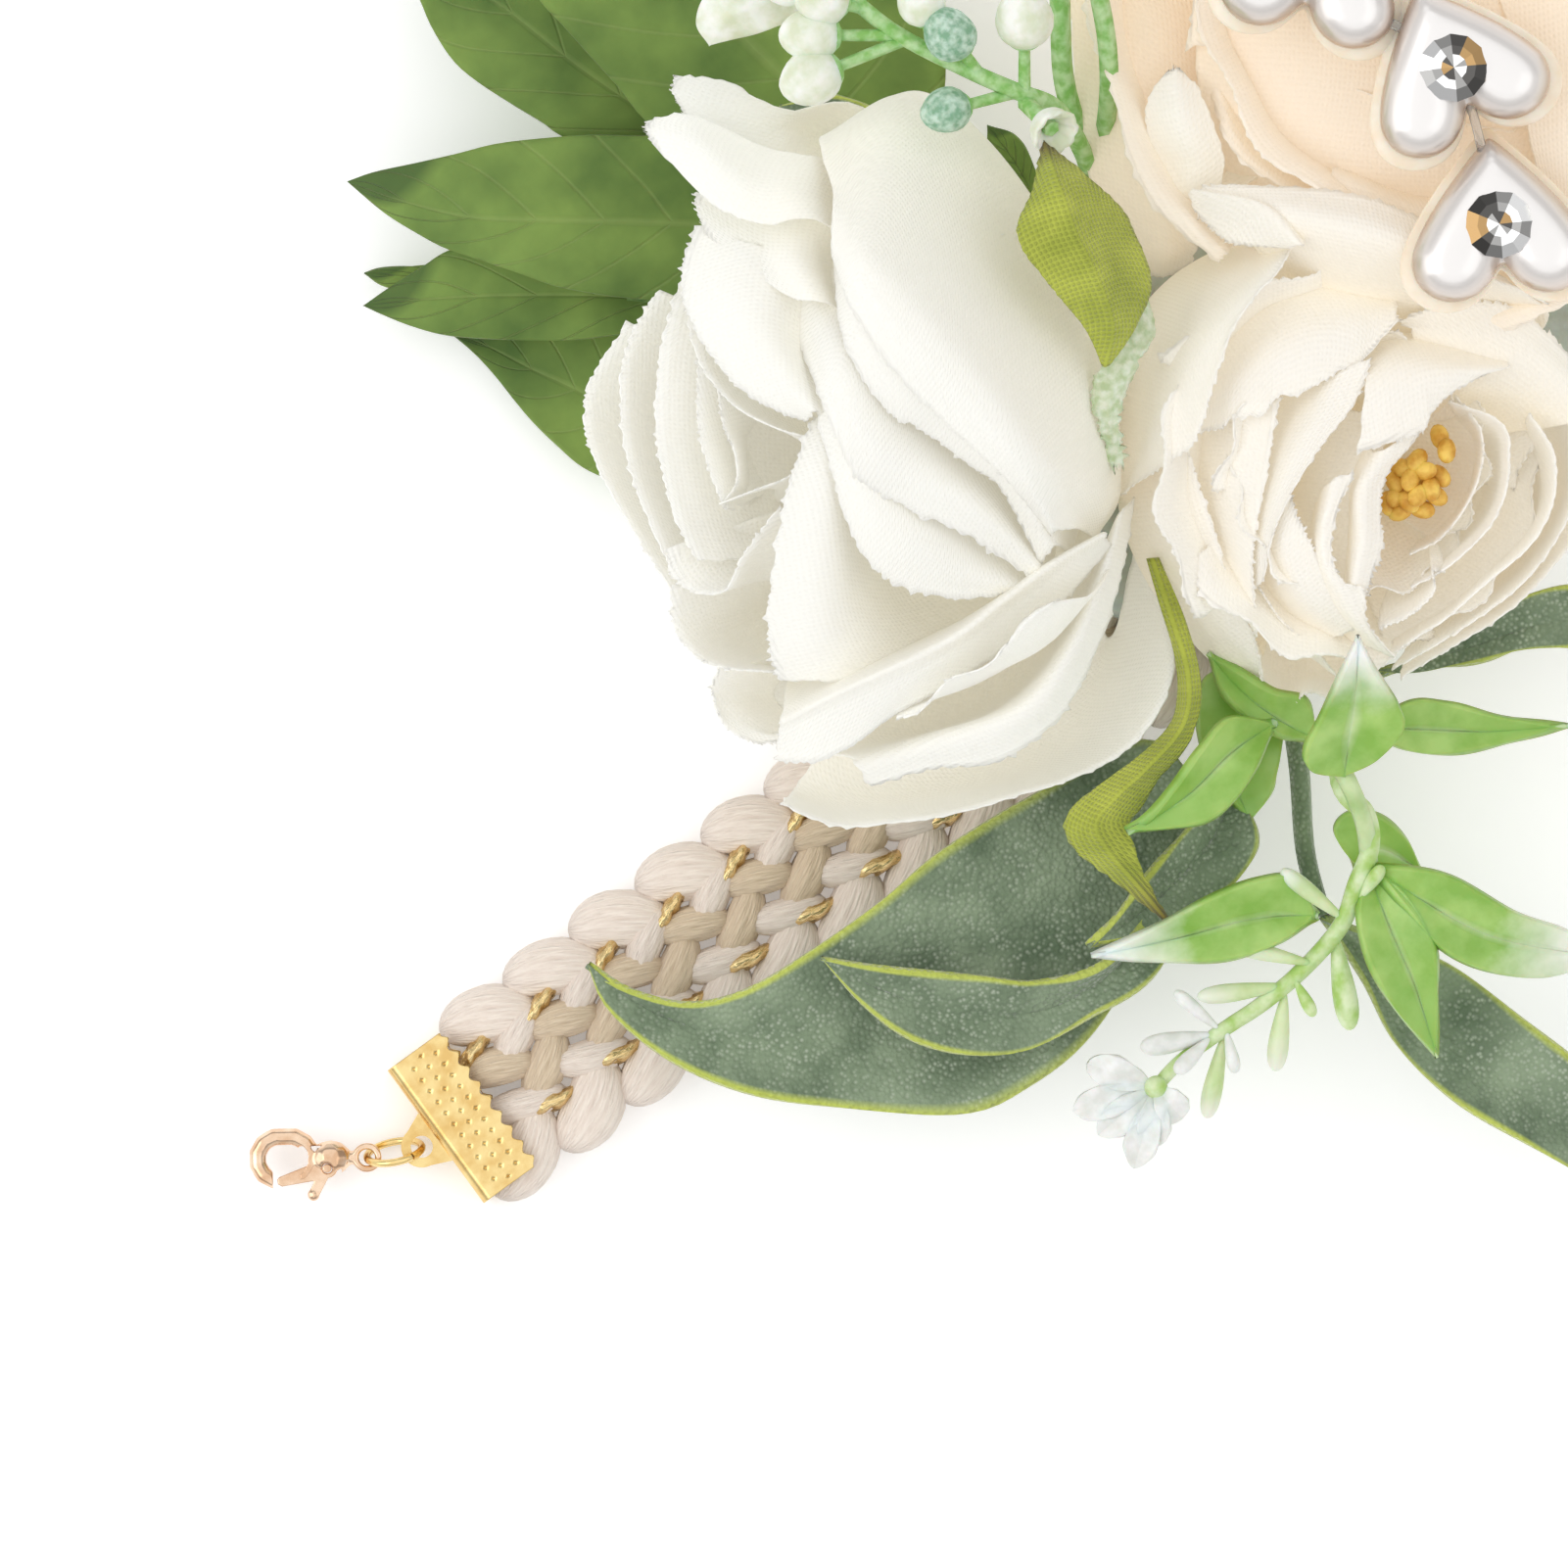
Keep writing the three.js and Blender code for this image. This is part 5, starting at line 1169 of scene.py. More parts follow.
# Each spray's stem, then its leaves' edge, midrib and other edge, from root to tip, by picture point
frosted_sprays = {
    "frosted_leaf_spray_left": (
        [(1274, 747, 10.6), (1233, 814, 13.4)],
        [
            [[(1233, 814, 13.4), (1170, 755, 15), (1050, 815, 15.5), (960, 870, 15.2), (900, 920, 14.8),
              (830, 970, 14), (760, 1012, 12.6), (700, 1025, 11.6), (640, 1010, 10.4), (600, 985, 9.4)],
             [(1233, 814, 13.2), (1100, 920, 13.2), (980, 990, 12.8), (860, 1045, 12.2), (740, 1055, 11.2),
              (660, 1028, 10.2), (600, 985, 9.4)],
             [(1233, 814, 13.4), (1190, 930, 13.8), (1120, 1050, 14), (1050, 1110, 13.8), (980, 1138, 13.6),
              (850, 1130, 13.2), (760, 1115, 12.6), (680, 1080, 11.6), (620, 1030, 10.3), (600, 985, 9.4)]],
            [[(1233, 820, 15), (1200, 900, 17.4), (1130, 982, 18.2), (1060, 1002, 18.4), (1000, 997, 18.2),
              (900, 988, 17.4), (838, 978, 16.2)],
             [(1233, 820, 14.8), (1160, 960, 16.2), (1080, 1025, 16.6), (980, 1036, 16.6), (900, 1010, 16.4),
              (838, 978, 16.2)],
             [(1233, 820, 15), (1190, 980, 16.6), (1110, 1040, 17.2), (1050, 1072, 17.4), (990, 1077, 17.4),
              (930, 1061, 17.2), (880, 1025, 16.8), (838, 978, 16.2)]],
            [[(1262, 800, 15), (1230, 828, 17.4), (1195, 866, 18.6), (1165, 902, 18.8), (1138, 938, 18.4),
              (1110, 966, 17.6)],
             [(1262, 800, 14.8), (1235, 860, 16.6), (1195, 905, 17.2), (1150, 942, 17.4), (1110, 966, 17.6)],
             [(1262, 800, 15), (1284, 850, 17.2), (1276, 882, 17.8), (1245, 916, 18), (1200, 938, 18),
              (1150, 958, 17.8), (1110, 966, 17.6)]],
        ],
    ),
    "frosted_leaf_spray_right": (
        [(1318, 700, 8.4), (1327, 790, 9.6), (1333, 870, 10.6), (1350, 935, 11.2)],
        [
            [[(1350, 935, 11.2), (1388, 950, 12), (1480, 985, 12.6), (1560, 1045, 12.6), (1640, 1110, 11.8),
              (1700, 1190, 10), (1719, 1240, 8.4)],
             [(1350, 935, 11), (1440, 1020, 11.4), (1520, 1090, 11.2), (1620, 1170, 10), (1719, 1240, 8.4)],
             [(1350, 935, 11.2), (1392, 1000, 12), (1424, 1064, 12.4), (1480, 1120, 12.2), (1560, 1168, 11.4),
              (1640, 1212, 10), (1719, 1240, 8.4)]],
            [[(1400, 690, 9.6), (1490, 650, 12), (1545, 614, 13.2), (1601, 598, 13.4), (1660, 610, 12.8),
              (1700, 640, 12)],
             [(1400, 690, 9.4), (1500, 660, 11.6), (1600, 632, 12.4), (1700, 640, 12)],
             [(1400, 690, 9.6), (1500, 678, 11.6), (1560, 662, 12.6), (1620, 660, 12.6), (1700, 640, 12)]],
        ],
    ),
}


def frosty(name, colours, rim):
    """Flocked sheet: matt green fibres under white frost specks, with a brighter yellow-green rim round its
    edge.
    """
    made, tree, shader = finish_of(name, Roughness=0.85, Sheen_Weight=0.5, Sheen_Roughness=0.4)
    colour = speckled(tree, colours, 6.0, detail=7.0, low=0.32, high=0.68)[0]
    place = put(tree, "TexCoord")
    flock = put(tree, "TexVoronoi", {"Vector": place.outputs["Object"], "Scale": 1 / (frost_speck * mm)})
    grains = put(tree, "MapRange", {
        "Value": flock.outputs["Distance"], "From Min": 0.05, "From Max": 0.5, "To Min": 1.0, "To Max": 0.0,
    })
    patches = put(tree, "TexNoise", {
        "Vector": place.outputs["Object"], "Scale": 1 / (frost_patch * mm), "Detail": 4.0,
    })
    frost = put(tree, "MapRange", {
        "Value": patches.outputs["Fac"], "From Min": 0.38, "From Max": 0.66, "To Min": 0.12, "To Max": 0.75,
    })
    thin = put(tree, "Math", {0: grains, 1: frost}, operation="MULTIPLY")
    frosted = put(tree, "Mix", {0: thin, 6: colour, 7: linear(frost_colour)}, data_type="RGBA")
    wide = put(tree, "Attribute", attribute_name="middle_to_side")
    off = put(tree, "Math", {0: wide.outputs["Fac"]}, operation="ABSOLUTE")
    along = put(tree, "Attribute", attribute_name="root_to_edge")
    outward = put(tree, "Math", {0: along.outputs["Fac"], 1: 0.12, 2: off}, operation="MULTIPLY_ADD")
    at_rim = put(tree, "MapRange", {"Value": outward, "From Min": 0.96, "From Max": 1.06, "To Max": 0.85})
    edged = put(tree, "Mix", {0: at_rim, 6: frosted.outputs[2], 7: linear(rim)}, data_type="RGBA")
    tree.links.new(edged.outputs[2], shader.inputs["Base Color"])
    raised(tree, shader, flock.outputs["Distance"], 0.2)
    return made


flocked = frosty("flocked_grey_green_foam", ("#5d7056", "#93a487"), "#cad65a")


def spray(name, stem_points, leaves, wire, stem_look, wall, wave):
    """A stem from the glue through some picture points, and the leaves along it, each with its look."""
    line = places(stem_points)
    parts = [tube([glue_rim(line[0], wire), *line], wire, stem_look, taper=0.8)]
    for i, (edges, look) in enumerate(leaves):
        parts.append(outlined(f"{name} {i}", edges, look, wall, wave=wave))
    piece = settle(join(parts, name), f"{name}_leaves")
    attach(piece, "corsage")
    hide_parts(name)


for name, (stem_points, leaves) in frosted_sprays.items():
    looks = [(edges, flocked) for edges in leaves]
    spray(name, stem_points, looks, frosted_wire, flocked, frosted_wall, 0.3)


# Glossy leaf sprig: leaves and stem moulded in one from polyethylene, bright green, some leaves misted with
# white paint at their tips.
glossy_wall = 0.8
glossy_wire = 0.85
glossy_rib_half = 0.22
rib_colour = "#dfe9c9"
glossy_stem = [(1318, 722, 14), (1345, 752, 19), (1372, 790, 23.5), (1392, 838, 22.6), (1398, 880, 21)]
# Each leaf's edge, midrib and other edge, from root to tip, and whether its tip is sprayed
glossy_leaves = [
    ([[(1372, 790, 24), (1338, 785, 26), (1332, 766, 27.4), (1348, 733, 29.4), (1368, 690, 31),
       (1387, 650, 32)],
      [(1372, 790, 24), (1378, 745, 27.4), (1384, 700, 30), (1387, 650, 32)],
      [(1372, 790, 24), (1408, 773, 26.4), (1433, 745, 28), (1429, 722, 29), (1405, 686, 31),
       (1387, 650, 32)]],
     1),
    ([[(1395, 742, 18), (1440, 716, 19.6), (1480, 718, 19.4), (1530, 731, 18.6), (1600, 741, 17)],
      [(1395, 742, 17.8), (1450, 744, 18.6), (1520, 747, 18), (1600, 741, 17)],
      [(1395, 742, 18), (1430, 764, 18.8), (1480, 770, 19), (1545, 757, 18.2), (1600, 741, 17)]],
     0),
    ([[(1302, 738, 20), (1255, 733, 23), (1225, 765, 24.2), (1200, 800, 24.2), (1172, 834, 23.6),
       (1150, 849, 23)],
      [(1302, 738, 19.8), (1255, 770, 22.2), (1210, 812, 22.8), (1150, 849, 23)],
      [(1302, 738, 20), (1285, 780, 22.6), (1262, 816, 23.4), (1232, 839, 23.6), (1195, 846, 23.4),
       (1150, 849, 23)]],
     0),
    ([[(1345, 756, 19), (1335, 715, 20.4), (1300, 705, 20.8), (1265, 684, 20.4), (1234, 666, 19.6)],
      [(1345, 756, 18.8), (1305, 735, 19.4), (1265, 702, 19.4), (1234, 666, 19.6)],
      [(1345, 756, 19), (1308, 752, 19.8), (1272, 732, 20), (1246, 704, 20), (1234, 666, 19.6)]],
     0),
    ([[(1312, 742, 16), (1268, 690, 17.4), (1232, 690, 17.6), (1222, 730, 17.4), (1235, 790, 17),
       (1276, 838, 16.4)],
      [(1312, 742, 15.8), (1270, 750, 16.4), (1258, 790, 16.4), (1276, 838, 16.4)],
      [(1312, 742, 16), (1306, 780, 16.8), (1297, 812, 17), (1276, 838, 16.4)]],
     0),
    ([[(1345, 935, 19.6), (1322, 896, 21), (1285, 897, 21.8), (1235, 916, 21.8), (1175, 948, 21.2),
       (1114, 976, 20.4)],
      [(1345, 935, 19.4), (1280, 938, 20.4), (1200, 958, 20.4), (1114, 976, 20.4)],
      [(1345, 935, 19.6), (1308, 962, 21), (1255, 980, 21.4), (1185, 982, 21), (1114, 976, 20.4)]],
     1),
    ([[(1398, 884, 20.6), (1442, 886, 22), (1485, 896, 22.2), (1545, 930, 21.4), (1600, 950, 20.2),
       (1640, 978, 19)],
      [(1398, 884, 20.4), (1460, 924, 21), (1530, 958, 20.6), (1640, 978, 19)],
      [(1398, 884, 20.6), (1432, 925, 21.8), (1470, 968, 21.8), (1520, 992, 21.2), (1580, 998, 20.2),
       (1640, 978, 19)]],
     1),
    ([[(1396, 888, 20), (1386, 930, 21.4), (1396, 980, 21.8), (1424, 1030, 20.8), (1467, 1079, 19)],
      [(1396, 888, 19.8), (1420, 950, 20.6), (1446, 1010, 20.2), (1467, 1079, 19)],
      [(1396, 888, 20), (1432, 908, 21.4), (1464, 960, 21.8), (1468, 1020, 20.6), (1467, 1079, 19)]],
     0),
    ([[(1388, 890, 17), (1362, 850, 18), (1378, 828, 18.4), (1408, 832, 18.4), (1436, 856, 18),
       (1452, 890, 17.4)],
      [(1388, 890, 16.8), (1405, 868, 17.4), (1425, 872, 17.4), (1452, 890, 17.4)],
      [(1388, 890, 17), (1405, 898, 17.4), (1428, 900, 17.4), (1452, 890, 17.4)]],
     0),
]


def sprayed_tip(name, colours, tip, roughness):
    """Moulded polyethylene, waxy and slightly see-through, with a white mist over the leaf's tip."""
    made, tree, shader = finish_of(
        name, Roughness=roughness, Coat_Weight=0.2, Coat_Roughness=0.2, Subsurface_Weight=0.3
    )
    shader.inputs["Subsurface Scale"].default_value = 1.2 * mm
    colour, wander = speckled(tree, colours, 3.0, detail=6.0)
    along = put(tree, "Attribute", attribute_name="root_to_edge")
    mist = put(tree, "Math", {0: wander, 1: 0.35, 2: along.outputs["Fac"]}, operation="MULTIPLY_ADD")
    white = put(tree, "MapRange", {"Value": mist, "From Min": 0.72, "From Max": 1.1})
    tipped = put(tree, "Mix", {0: white, 6: colour, 7: linear(tip)}, data_type="RGBA")
    wide = put(tree, "Attribute", attribute_name="middle_to_side")
    off = put(tree, "Math", {0: wide.outputs["Fac"]}, operation="ABSOLUTE")
    rib = put(tree, "MapRange", {"Value": off, "From Max": glossy_rib_half, "To Min": 1.0, "To Max": 0.0})
    streaks = put(tree, "Math", {0: rib, 1: wander}, operation="MULTIPLY")
    hazy = put(tree, "Mix", {0: streaks, 6: tipped.outputs[2], 7: linear(rib_colour)}, data_type="RGBA")
    tree.links.new(hazy.outputs[2], shader.inputs["Base Color"])
    raised(tree, shader, rib, -0.1)
    return made


glossy = sprayed_tip("moulded_green_leaf_plastic", ("#86b548", "#aace70"), "#8fbb55", 0.38)
misted = sprayed_tip("moulded_green_leaf_plastic_white_mist", ("#86b548", "#aace70"), "#f1f3ee", 0.38)
looks = [(edges, misted if tip else glossy) for edges, tip in glossy_leaves]
spray("glossy_leaf_sprig", glossy_stem, looks, glossy_wire, glossy, glossy_wall, 0.1)


# Mini flower spray: buds on short stalks along a thin stem with a small open flower at its end, moulded in
# pale green polyethylene, the buds tipped white.
mini_wire = 0.6
mini_stem = [(1368, 790, 21), (1394, 830, 21.6), (1399, 865, 21.6), (1384, 905, 20.8), (1369, 945, 20),
             (1332, 988, 19.4), (1290, 1024, 19), (1248, 1052, 18.6), (1205, 1084, 18.2), (1180, 1110, 18)]
# Each bud's place on the stem, its tip, its half width in mm and its look: green, misted tip or white
mini_pods = (
    ((1374, 940, 20.2), (1308, 888, 21.4), 1.0, 1), ((1345, 985, 19.8), (1252, 964, 20.8), 0.95, 1),
    ((1362, 950, 19.4), (1379, 1052, 18.4), 1.35, 0), ((1395, 920, 20), (1432, 980, 18.6), 1.1, 0),
    ((1388, 918, 21), (1412, 884, 22), 0.8, 0), ((1318, 1006, 19.2), (1222, 1018, 19.8), 1.05, 1),
    ((1322, 1000, 19.6), (1342, 1038, 20), 0.75, 0), ((1312, 1012, 18.8), (1302, 1094, 18), 1.15, 1),
    ((1246, 1052, 18.8), (1199, 1012, 19.4), 0.8, 2), ((1242, 1056, 18.6), (1164, 1070, 19), 1.2, 2),
    ((1250, 1056, 18.2), (1232, 1142, 17.6), 1.1, 1), ((1252, 1052, 18.8), (1262, 1096, 19.2), 0.75, 2),
    ((1235, 1060, 19.2), (1200, 1096, 19.8), 0.95, 2),
)
# The tips of the open flower's petals in the picture, and their height
mini_petals = ((1110, 1086), (1096, 1134), (1122, 1158), (1158, 1192), (1176, 1172), (1206, 1142))
mini_petal_high = 18.4
mini_petal_wide = 2.6
mini_petal_wall = 0.45
mini_petal_bow = 0.9
mini_middle = (0.9, 0.9, 0.8)
mini_middle_rise = 0.6
mini_green = moulded("moulded_pale_green_plastic", ("#a9cc6c", "#d9e8bd"), 0.45, 1.5, 0.06, 0.1)
mini_white = moulded("moulded_white_bud_plastic", ("#dcdfd9", "#eff0ee"), 0.5, 1.2, 0.06, 0.1)


def towards(piece, at, way):
    """Turns a piece made along Z to another way and moves it to a place in mm."""
    turn = Vector((0, 0, 1)).rotation_difference(way.normalized()).to_matrix().to_4x4()
    piece.data.transform(Matrix.Translation(at * mm) @ turn)
    return piece


def club(root, tip, half, skin, name):
    """A closed bud shaped like a club, thin at its root, on the line between two places."""
    way = tip - root
    bud = ball((half, half, way.length / 2), 14)
    for vertex in bud.data.vertices:
        share = max(0.0, 0.5 + vertex.co.z / (way.length * mm))
        angle = math.atan2(vertex.co.y, vertex.co.x)
        swell = (0.42 + 0.62 * share**1.6) * (1 - 0.07 * abs(math.cos(2 * angle)) ** 5 * share)
        vertex.co.x *= swell
        vertex.co.y *= swell
    bud.data.materials.append(skin)
    share = bud.data.attributes.new("root_to_edge", "FLOAT", "POINT")
    for i, vertex in enumerate(bud.data.vertices):
        share.data[i].value = 0.5 + vertex.co.z / (way.length * mm)
    bud.name = name
    return towards(bud, (root + tip) / 2, way)


def flower_petal(name, points, width, look, wall, fold=0.14, peak=1.5, blunt=0.6, wave=0.1):
    """A petal along some points in mm, folded up along its middle and wavy at its margin."""
    spine = through([list(point) for point in points], leaf_rows + 1)
    run = np.gradient(spine, axis=0)
    run /= np.linalg.norm(run, axis=1)[:, None]
    side = np.cross((0, 0, 1), run)
    side /= np.linalg.norm(side, axis=1)[:, None]
    rise = np.cross(run, side)
    share = np.linspace(0, 1, leaf_rows + 1)
    slim = np.maximum(np.abs(np.sin(math.pi * share**peak)) ** blunt, 0.02)[:, None]
    across = np.linspace(-1, 1, leaf_columns + 1)
    start = random.Random(name).uniform(0, 6.3)
    ripple = wave * np.abs(across)[None] ** 3 * np.sin(share * 17 + start)[:, None]
    crease = fold * width * np.abs(across) ** 1.15
    lift = (crease[None] + ripple) * slim
    off = side[:, None] * (width / 2 * slim * across)[..., None]
    return sheet(name, spine[:, None] + off + rise[:, None] * lift[..., None], wall, look)


mini_misted = sprayed_tip("moulded_pale_green_plastic_white_mist", ("#a9cc6c", "#cfe2a8"), "#e9ebe8", 0.45)
route = places(mini_stem)
flower_at = route[-1]
parts = [tube([glue_rim(route[0], mini_wire), *route], mini_wire * 1.5, mini_green, taper=0.6)]
for i, (root, tip, half, look) in enumerate(mini_pods):
    skin = (mini_green, mini_misted, mini_white)[look]
    parts.append(club(at_pixel(*root), at_pixel(*tip), half, skin, f"bud {i}"))
for i, tip in enumerate(mini_petals):
    end = at_pixel(*tip, mini_petal_high)
    points = [flower_at, flower_at.lerp(end, 0.5) + Vector((0, 0, mini_petal_bow)), end]
    parts.append(flower_petal(f"mini petal {i}", points, mini_petal_wide, mini_white, mini_petal_wall))
middle = ball(mini_middle)
middle.data.transform(Matrix.Translation((flower_at + Vector((0, 0, mini_middle_rise))) * mm))
middle.data.materials.append(mini_green)
mini_spray = settle(join([*parts, middle], "mini"), "mini_flower_spray_plastic")
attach(mini_spray, "corsage")
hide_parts("mini_flower_spray")


# Berry sprig: a forked stem with matt pale berries, two of them teal, between the white and the champagne
# rose. Paper-wrapped wire with foam berries dipped in paint.
berry_wire = 0.8
berry_stalk = berry_wire * 0.6
berry_seams = 3
berry_stem_line = [(1119, 186, 20), (1098, 140, 27), (1074, 108, 32), (1035, 92, 34.6), (985, 70, 35.6),
                   (915, 34, 36), (862, -8, 36), (815, -44, 35.6)]
berry_second_stem = [(1119, 186, 20), (1131, 110, 27), (1131, 50, 31), (1121, -10, 33), (1110, -60, 34)]
berry_third_stem = [(1112, 170, 22), (1088, 90, 26.6), (1083, 30, 29), (1082, -50, 30)]
# Each berry's place on the stem, its middle, its half width in mm and its colour
berry_tips = (
    ((915, 36, 35.8), (826, 36, 36.6), 2.05, 0), ((920, 42, 35.6), (827, 80, 36.6), 2.15, 0),
    ((880, 8, 36), (838, 0, 37.6), 1.9, 0), ((1000, 76, 35.4), (969, 34, 38), 1.95, 1),
    ((1046, 96, 34), (1046, 17, 37.6), 2.2, 0), ((1038, 94, 34), (965, 113, 36), 1.75, 1),
    ((955, 54, 36), (940, 0, 38), 1.8, 0), ((862, -8, 36), (800, -20, 37), 1.9, 0),
)
berry_cup = ((1046, 104, 34), (1074, 132, 37))
frill_size = (1.7, 1.7, 1.5)
frill_hollow = 2.4
berry_paint = moulded("painted_foam_berry", ("#d9e0c4", "#f4f5ee"), 0.6, 1.6, 0.08)
berry_teal = moulded("painted_foam_berry_teal", ("#7fab8b", "#c4dccb"), 0.6, 0.6, 0.15)
berry_stem = moulded("green_wrapped_wire", ("#86bd62", "#bcdca6"), 0.7, 0.9, 0.1)


def pod(root, tip, size, stalk, skin_look, stalk_look, name):
    """A bud at the end of a short stalk, closed by folded petals and held by a small cup."""
    way = (tip - root).normalized()
    bud = ball((size, size, size * 1.12), 12)
    for vertex in bud.data.vertices:
        angle = math.atan2(vertex.co.y, vertex.co.x)
        high = vertex.co.z / (size * mm)
        groove = 1 - 0.09 * abs(math.cos(berry_seams * angle / 2 + high)) ** 6 * (0.5 + 0.5 * high)
        vertex.co.x *= groove * (1 - 0.12 * high)
        vertex.co.y *= groove * (1 - 0.12 * high)
    bud.data.materials.append(skin_look)
    cup = ball((size * 0.62, size * 0.62, size * 0.4), 8)
    cup.data.transform(Matrix.Translation((0, 0, -size * 0.82 * mm)))
    cup.data.materials.append(stalk_look)
    made = towards(join([bud, cup], name), tip, way)
    return [made, tube([root, root.lerp(tip, 0.5), tip - way * size * 0.8], stalk, stalk_look, taper=0.85)]


route = places(berry_stem_line)
parts = [
    tube([glue_rim(route[0], berry_wire), *route], berry_wire, berry_stem, taper=0.7),
    tube(places(berry_second_stem), berry_wire * 0.9, berry_stem),
    tube(places(berry_third_stem), berry_wire, berry_stem),
]
for i, (root, tip, half, teal) in enumerate(berry_tips):
    skin = berry_teal if teal else berry_paint
    parts += pod(at_pixel(*root), at_pixel(*tip), half, berry_stalk, skin, berry_stem, f"berry {i}")
# A small frilled flower cup on a stalk of its own
cup_at, cup_to = places(berry_cup)
frill = ball(frill_size, 14)
for vertex in frill.data.vertices:
    angle = math.atan2(vertex.co.y, vertex.co.x)
    rim = max(0, vertex.co.z / (frill_size[2] * mm))
    flare = 1 + 0.5 * rim + 0.16 * rim * math.sin(9 * angle)
    vertex.co.x *= flare
    vertex.co.y *= flare
    vertex.co.z -= frill_hollow * rim**6 * mm
frill.data.materials.append(berry_paint)
parts.append(towards(frill, cup_to, cup_to - cup_at))
parts.append(tube([cup_at, cup_to], berry_wire * 0.8, berry_stem))
# Three small leaves on stalks: a curled white one, a frosted one and a dark one, by edge, midrib and edge
curled = [[(835, -30, 30), (780, -30, 31), (728, -12, 31.4), (711, 22, 31), (724, 46, 30)],
          [(835, -30, 30.6), (790, 0, 32.4), (750, 12, 32.2), (724, 46, 30)],
          [(835, -30, 30), (832, 10, 30.6), (790, 28, 30.8), (752, 38, 30.4), (724, 46, 30)]]
parts.append(outlined("curled", curled, berry_paint, wave=0.4))
grey_leaf = [[(915, 172, 16), (900, 120, 18.4), (850, 97, 18.6), (796, 108, 17.6)],
             [(915, 172, 15.8), (865, 130, 17.6), (796, 108, 17.6)],
             [(915, 172, 16), (870, 166, 17.6), (822, 140, 18), (796, 108, 17.6)]]
dark_leaf = [[(1062, 215, 20), (1056, 170, 23), (1036, 138, 24), (1008, 128, 24)],
             [(1062, 215, 19.8), (1036, 165, 23), (1008, 128, 24)],
             [(1062, 215, 20), (1030, 192, 22.6), (1010, 160, 23.6), (1008, 128, 24)]]
parts.append(outlined("grey leaf", grey_leaf, flocked, frosted_wall))
parts.append(outlined("dark leaf", dark_leaf, leaf_print))
grey_root, dark_root = at_pixel(*grey_leaf[1][0]), at_pixel(*dark_leaf[1][0])
parts += [
    tube([at_pixel(836, -27, 35.6), at_pixel(*curled[1][0])], berry_stalk, berry_stem),
    tube([glue_rim(grey_root, berry_wire), grey_root], berry_stalk, berry_stem),
    tube([route[0], at_pixel(1092, 212, 19), dark_root], berry_stalk, berry_stem),
]
berries = settle(join(parts, "berries"), "berry_sprig_foam")
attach(berries, "corsage")
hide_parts("berry_sprig")


# Sepals: two curled strips of yellow-green woven fabric, cut with the white rose's calyx, with browned tips,
# and a frayed scrap of paler cloth that hangs from the upper one.
sepal_wall = 0.3
sepal_pitch = 0.4
sepal_green = ("#9da83a", "#b9c24c")
sepal_brown = "#6d5a26"
# Each strip's edge, middle and other edge, from root to tip, by picture point
sepals = (
    ("upper",
     [[(1126, 372, 36.6), (1107, 333, 39), (1082, 303, 40.6), (1057, 272, 41.8), (1043, 250, 42),
       (1040, 230, 41.6), (1053, 200, 40.6), (1060, 172, 39), (1066, 146, 37)],
      [(1128, 374, 36.8), (1135, 330, 39), (1118, 280, 41.2), (1098, 240, 42), (1084, 200, 41.6),
       (1074, 172, 40), (1066, 146, 37)],
      [(1132, 372, 36.6), (1150, 348, 37), (1162, 326, 37), (1173, 300, 36.6), (1172, 275, 36.6),
       (1160, 245, 37), (1145, 215, 37.6), (1115, 186, 38.6), (1066, 146, 37)]]),
    ("lower",
     [[(1172, 570, 23), (1186, 620, 23.4), (1200, 665, 23.4), (1204, 705, 23), (1196, 740, 22.6),
       (1160, 775, 22.4), (1122, 803, 22.4), (1096, 826, 22.4), (1088, 846, 22.2), (1104, 872, 21.8),
       (1140, 900, 21.2), (1197, 946, 20.6)],
      [(1176, 570, 23.6), (1196, 630, 24), (1213, 690, 24.2), (1208, 740, 23.8), (1170, 785, 23.4),
       (1138, 815, 23.4), (1118, 842, 23.2), (1132, 870, 22.6), (1156, 898, 21.8), (1197, 946, 20.6)],
      [(1182, 570, 23), (1206, 625, 23.4), (1222, 680, 23.4), (1225, 718, 23), (1212, 760, 22.6),
       (1184, 792, 22.2), (1166, 822, 22), (1151, 842, 22), (1160, 872, 21.8), (1170, 900, 21.2),
       (1197, 946, 20.6)]]),
)
sepal_cloth, tree, shader = finish_of("yellow_green_woven_polyester", Roughness=0.8, Sheen_Weight=0.2)
colour = speckled(tree, sepal_green, 3.5, detail=6.0)[0]
along = put(tree, "Attribute", attribute_name="root_to_edge")
browned = put(tree, "MapRange", {
    "Value": along.outputs["Fac"], "From Min": 0.84, "From Max": 0.97, "To Max": 0.9,
})
tipped = put(tree, "Mix", {0: browned, 6: colour, 7: linear(sepal_brown)}, data_type="RGBA")
tree.links.new(tipped.outputs[2], shader.inputs["Base Color"])
raised(tree, shader, woven(tree, (sepal_pitch, sepal_pitch), 0.6, 2.0), 0.14)
scrap_cloth = moulded("pale_green_frayed_polyester", ("#b9cda0", "#e2ead6"), 0.85, 0.7, 0.15)
scrap = [[(1170, 300, 33), (1178, 340, 33.4), (1160, 372, 34), (1142, 420, 33.6), (1146, 474, 31)],
         [(1164, 300, 33.4), (1160, 345, 34), (1142, 384, 34.4), (1132, 425, 34), (1140, 474, 31)],
         [(1158, 302, 33), (1140, 350, 34), (1118, 388, 34.4), (1122, 425, 33.8), (1136, 474, 31)]]
for name, edges in sepals:
    strips = [outlined(f"sepal {name}", edges, sepal_cloth, sepal_wall, tear=0.25, wave=0.25)]
    if name == "upper":
        strips.append(outlined("sepal scrap", scrap, scrap_cloth, sepal_wall, tear=0.7, wave=0.4))
    piece = settle(join(strips, "sepal"), f"rose_sepal_{name}_cloth")
    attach(piece, "corsage")
    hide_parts(f"rose_sepal_{name}")


